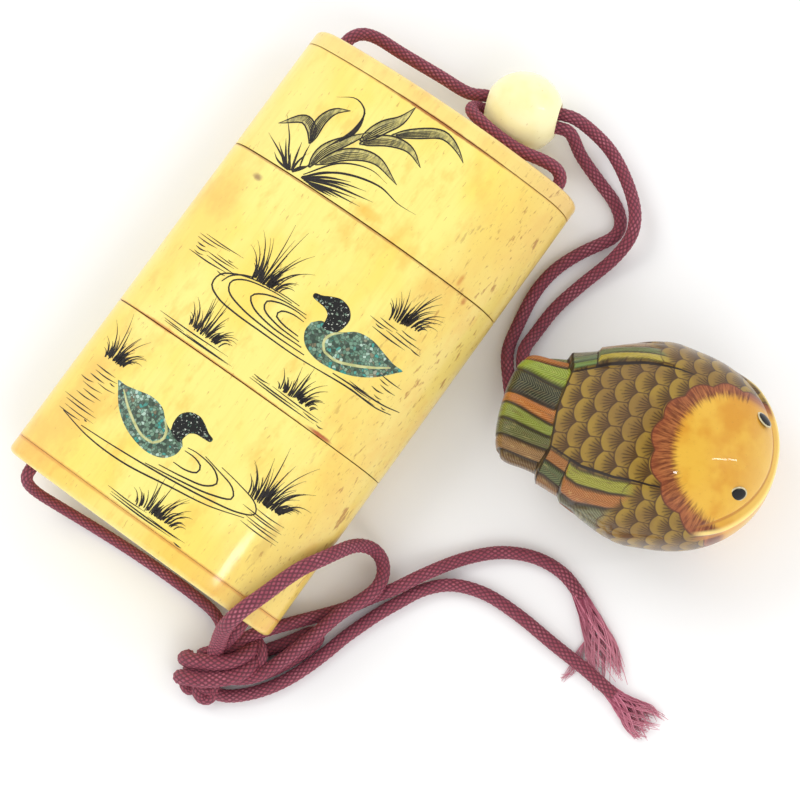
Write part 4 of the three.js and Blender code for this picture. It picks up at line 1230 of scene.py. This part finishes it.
def crushed_shell():
    """Green and blue flakes of shell set close together, with dark resin between them."""
    finish = Finish("crushed_shell", 0.25, 0.3)
    flakes = {"Vector": finish.places(), "Scale": 2.0, "Randomness": 1.0}
    red, green, blue = finish.field("TexVoronoi", flakes, "Color").parts("SeparateColor")
    gaps = finish.field("TexVoronoi", flakes, feature="DISTANCE_TO_EDGE")
    # The palest flakes are painted glints off the shell; the other flake colours are its own.
    finish.colour(layered(
        red.rising(0.15, 0.85).mixed((84, 114, 92), (136, 166, 142)),
        (finish.noise(0.3, 3.0).rising(0.45, 0.65, 0, 0.6), (96, 138, 118)),
        (green.rising(0.8, 0.9), (176, 204, 186)),
        (blue.rising(0.68, 0.78, 0, 0.85), (44, 56, 48)),
        (blue.rising(0.1, 0.05, 0, 0.6), (134, 100, 72)),
        (green.rising(0.12, 0.06, 0, 0.8), (60, 160, 150)),
        (gaps.rising(0.12, 0.03, 0, 0.8), (60, 72, 58))))
    finish.relief(red, 0.3, 0.06)
    return finish.made


def flecked_black():
    """Black resin with three sizes of pale and green flecks in it."""
    finish = Finish("flecked_black", 0.22, 0.4)
    tone = (20, 20, 20)
    for scale, low, fleck in (
            (1.5, 0.45, (120, 142, 122)), (2.6, 0.42, (206, 212, 196)), (2.0, 0.7, (60, 96, 78))):
        place = finish.field(
            "VectorMath", {0: finish.places(centre=(scale, 0, 0)), 1: finish.noise(2.5, 1.0)}, operation="ADD")
        flakes = node(
            finish.tree, "TexVoronoi", {"Vector": place, "Scale": scale, "Randomness": 1.0}, distance="MANHATTAN")
        red, green, _ = Field(flakes, "Color").parts("SeparateColor")
        near = (Field(flakes, "Distance") - green * 0.4).rising(0.2, 0.1)
        tone = (near * red.rising(low, low + 0.04)).mixed(tone, fleck)
    finish.colour(tone)
    return finish.made


def painted_feathers():
    """Varnished painting on the bird: scales, long feathers, a red collar with a scalloped edge, an amber crown."""
    finish = Finish("painted_feathers", 0.3, 0.4, {"Specular IOR Level": 0.15, "Coat Roughness": 0.04})

    def stored(name, output="Fac"):
        return finish.field("Attribute", output=output, attribute_name=name)

    along, girth, _ = stored("place", "Vector").parts()
    cloud = finish.noise(0.16, 3.0)
    fine = finish.noise(2.4, 3.0, 0.6)

    # Scales in staggered rows, each with a dark round edge towards the tail, a painted shadow just outside that edge,
    # and strokes that fan from its root
    row_step, scale_width = 2.55, 3.9
    rows = along / row_step
    layers = []
    for ahead in (1.0, 0.0):
        row = rows.maths("FLOOR") + ahead
        column = girth / scale_width + row.maths("FLOORED_MODULO", 2.0) * 0.5
        layers.append(((column.maths("FRACT") - 0.5) * scale_width, (row - rows) * row_step))
    (upper_aside, upper_back), (lower_aside, lower_back) = layers
    away = upper_aside.reach(upper_back)
    covered = away.maths("LESS_THAN", row_step)
    aside = covered.either(lower_aside, upper_aside)
    from_root = covered.either(lower_back, upper_back) + 1.35
    spread = aside.reach(from_root)
    ragged = spread + finish.noise(1.6, 2.0) * 1.6
    strokes = (aside.maths("ARCTAN2", from_root) * 14.0).wave().rising(0.75, 0.35) * ragged.rising(3.8, 3.1)
    outline = abs(away - row_step).rising(0.16, 0.07)
    between = abs(aside).rising(scale_width / 2 - 0.14, scale_width / 2 - 0.06) * covered
    # Painted shadow just outside each scale's round edge, on the scale under it.
    under = away.rising(row_step + 0.8, row_step, 0, 0.45) * away.maths("GREATER_THAN", row_step)
    edging = outline.maths("MAXIMUM", between)
    tone = layered(
        spread.rising(1.2, 3.4).mixed((92, 64, 24), (152, 122, 46)),
        (cloud.rising(0.42, 0.62, 0, 0.5), (116, 84, 46)),
        (strokes * 0.75, (58, 40, 18)),
        (under, (72, 50, 24)))

    # Long feathers on the wings and tail
    strip, feather_edge = stored("strip"), stored("feather_edge")
    within = abs(strip.maths("FRACT") - 0.5)
    barbs = ((along + within * 3.4 + fine * 0.25) * 7.0).wave()
    streaks = finish.noise(1.0, 3.0, 0.6, place=finish.field("CombineXYZ", {0: strip * 5.0, 1: along * 0.35}))
    # The last layer darkens each feather towards the next one: partly the feathers' own dark edges, partly painted
    # shade in the grooves between them.
    plume = layered(
        stored("paint", "Color"),
        (barbs.rising(0.5, 0.1, 0, 0.5), (58, 46, 24)),
        (barbs.rising(0.8, 0.98, 0, 0.2), (206, 198, 140)),
        (streaks.rising(0.5, 0.72, 0, 0.6), (98, 74, 46)),
        (streaks.rising(0.42, 0.28, 0, 0.35), (206, 180, 112)),
        (within.rising(0.3, 0.49, 0, 0.92), (50, 38, 26)))
    tone = layered(
        feather_edge.rising(-0.14, 0.14).mixed(tone, plume),
        (edging * feather_edge.rising(0.3, -0.02) * 0.85, (74, 50, 28)))
    # Painted shadow: a thin dark line at the foot of the step along each wing, wing tip and the tail, fading out
    # towards the head.
    for name, reach in (("wing_edge", 0.16), ("tip_edge", 0.16), ("tail_edge", 0.22)):
        line = abs(stored(name) + 0.16).rising(reach, 0.4 * reach, 0, 0.92)
        tone = (line * along.rising(6.5, 4.5)).mixed(tone, (40, 28, 20))

    # Collar
    collar = stored("collar")
    rays = finish.field("CombineXYZ", {0: stored("collar_turn") * 30.0, 1: collar * 0.4})
    ray = finish.noise(1.0, 3.0, 0.6, place=rays)
    red = layered(
        ray.rising(0.36, 0.66).mixed((104, 52, 26), (172, 104, 58)),
        (collar.rising(1.8, 0.2, 0, 0.4), (134, 62, 38)),
        (collar.rising(0.3, 0.12, 0, 0.8), (84, 46, 28)))
    tone = collar.rising(-0.06, 0.06).mixed(tone, red)

    # Crown and bill
    amber = layered(
        cloud.rising(0.38, 0.62).mixed((208, 146, 42), (222, 174, 62)),
        (along.rising(14.0, 20.5, 0, 0.7), (228, 188, 96)))
    tone = (stored("head") + ray * 2.6).rising(0.7, 2.3).mixed(tone, amber)
    bill, face = stored("bill_line"), along.rising(11.0, 13.5)
    # A pale line on the bill's ridge is a painted highlight, a darker line in the groove above it is painted shade,
    # and an orange band lies below the ridge.
    for middle, width, strength, tint in (
            (-0.1, 0.75, 0.8, (252, 226, 140)), (1.2, 0.3, 0.7, (176, 112, 44)), (-1.6, 1.0, 0.5, (220, 150, 66))):
        line = abs(bill - middle).rising(width, 0.35 * width, 0, strength)
        tone = (line * face).mixed(tone, tint)

    finish.colour(fine.rising(0.62, 0.75, 0, 0.18).mixed(tone, (84, 56, 34)))
    finish.relief(cloud * 0.4 - edging * 0.3, 0.2, 0.1)
    return finish.made


# Floor and lights

def pale_floor(finish):
    bm = bmesh.new()
    bmesh.ops.create_grid(bm, x_segments=8, y_segments=8, size=1.5)
    piece_from(bm, "pale_floor", finish, 180)


def soft_lights():
    """A pale tent that is bright at the sides and dim overhead, two wide lamps, and two small ones that glint."""
    for name, place, aim, size, width, power in (
            ("wide_lamp", (-0.75, 0.12, 0.8), (0, 0, 0), 0.5, 0.5, 2.6),
            ("fill_lamp", (0.72, -0.42, 0.75), (0.02, 0, 0), 0.5, 0.5, 1.9),
            ("small_lamp", (0.43, -0.04, 1.42), (0.015, -0.033, 0.018), 0.06, 0.05, 0.4),
            ("strip_lamp", (0.616, 0.453, 0.594), (0.0645, 0.0227, 0.022), 0.4, 0.014, 0.5)):
        data = bpy.data.lights.new(name, "AREA")
        data.shape = "RECTANGLE"
        data.size = size
        data.size_y = width
        data.energy = power
        light = bpy.data.objects.new(name, data)
        light.location = place
        light.visible_glossy = name in ("small_lamp", "strip_lamp")
        ahead = (Vector(aim) - Vector(place)).normalized()
        long = Vector((0.231, 0.136, -0.319))
        long = (long - ahead * long.dot(ahead)).normalized()
        turn = Matrix((long, long.cross(ahead), -ahead)).transposed()
        light.rotation_euler = turn.to_euler()
        bpy.context.scene.collection.objects.link(light)
    world = bpy.data.worlds.new("pale_tent")
    world.use_nodes = True
    tree = world.node_tree
    upward = Field(node(tree, "TexCoord"), "Generated").parts()[2]
    background = tree.nodes["Background"]
    background.inputs["Color"].default_value = (1, 1, 1, 1)
    tree.links.new(upward.rising(0.68, 0.92, 1.2, 0.46).socket, background.inputs["Strength"])
    bpy.context.scene.world = world


# The whole object

photo_camera()
silk = braided_silk()
loose = loose_silk()
cord_piece("left_strand", strand_route(-1, left_toggle, left_top, left_tail), silk, (
    "cord_left_toggle", "cord_left_bead", "cord_left_top", "cord_left_channel", "cord_left_tail"),
    snug=((0, 0.79, 0.82, 1), (1, 1, 0.84, 0.88)))
cord_piece("right_strand", strand_route(1, right_toggle, right_top, right_tail), silk, (
    "cord_right_toggle", "cord_right_bead", "cord_right_top", "cord_right_channel", "cord_right_tail"))
cord_piece("loop_strand", loop_route, silk, ("cord_loop",), snug=((0, 0.3, 0.6, 1), (1.25, 1.15, 1.04, 1.12)))
short_fray = frayed_tip("short_fray", loose, short_fray_spine, 2.4, 5, short_fray_wisp)
long_fray = frayed_tip("long_fray", loose, long_fray_spine, 2.5, 8)
cord_piece("short_end", short_end_route, silk, ("cord_short_end",))
cord_piece("long_end", long_end_route, silk, ("cord_long_end",))
tied_knot(silk)
stacked_case(
    old_bone("yellowed_bone", (243, 229, 130), (245, 218, 104), (236, 190, 86), (222, 186, 106)),
    old_bone("pale_plate_bone", (241, 224, 134), (238, 208, 118), (230, 178, 104), (222, 182, 112)),
    old_bone("honey_bone", (240, 219, 120), (238, 202, 92), (229, 166, 68), (222, 176, 98)))
engraving(
    two_tone("cut_ink", (0.45, 0.0), (0.9, 4.0, 0.7), (0.5, 0.85, 0, 0.6), (26, 20, 18), (92, 66, 40)),
    two_tone(
        "green_wash", (0.35, 0.3), (1.6, 4.0, 0.7, (1, 0.3, 1), 0.7), (0.35, 0.65), (214, 200, 116), (128, 122, 76)),
    crushed_shell(), flecked_black(),
    two_tone("wing_bone", (0.3, 0.3), (0.8, 3.0), (0.35, 0.7), (206, 206, 146), (176, 180, 116)))
sliding_bead(turned_bone())
carved_bird(painted_feathers())
inset_eyes(
    two_tone(
        "polished_black", (0.12, 0.2), (0.8, 2.0), (), (3, 3, 4), (14, 12, 12), {"Specular IOR Level": 0.25}),
    two_tone("eye_ring_horn", (0.25, 0.5), (1.6, 3.0), (0.35, 0.65), (178, 166, 128), (214, 200, 156)))
pale_floor(two_tone("matt_paper", (0.85, 0.0), (0.02, 3.0), (), (244, 244, 244), (252, 252, 252)))
soft_lights()
bpy.context.scene.view_settings.view_transform = "Standard"
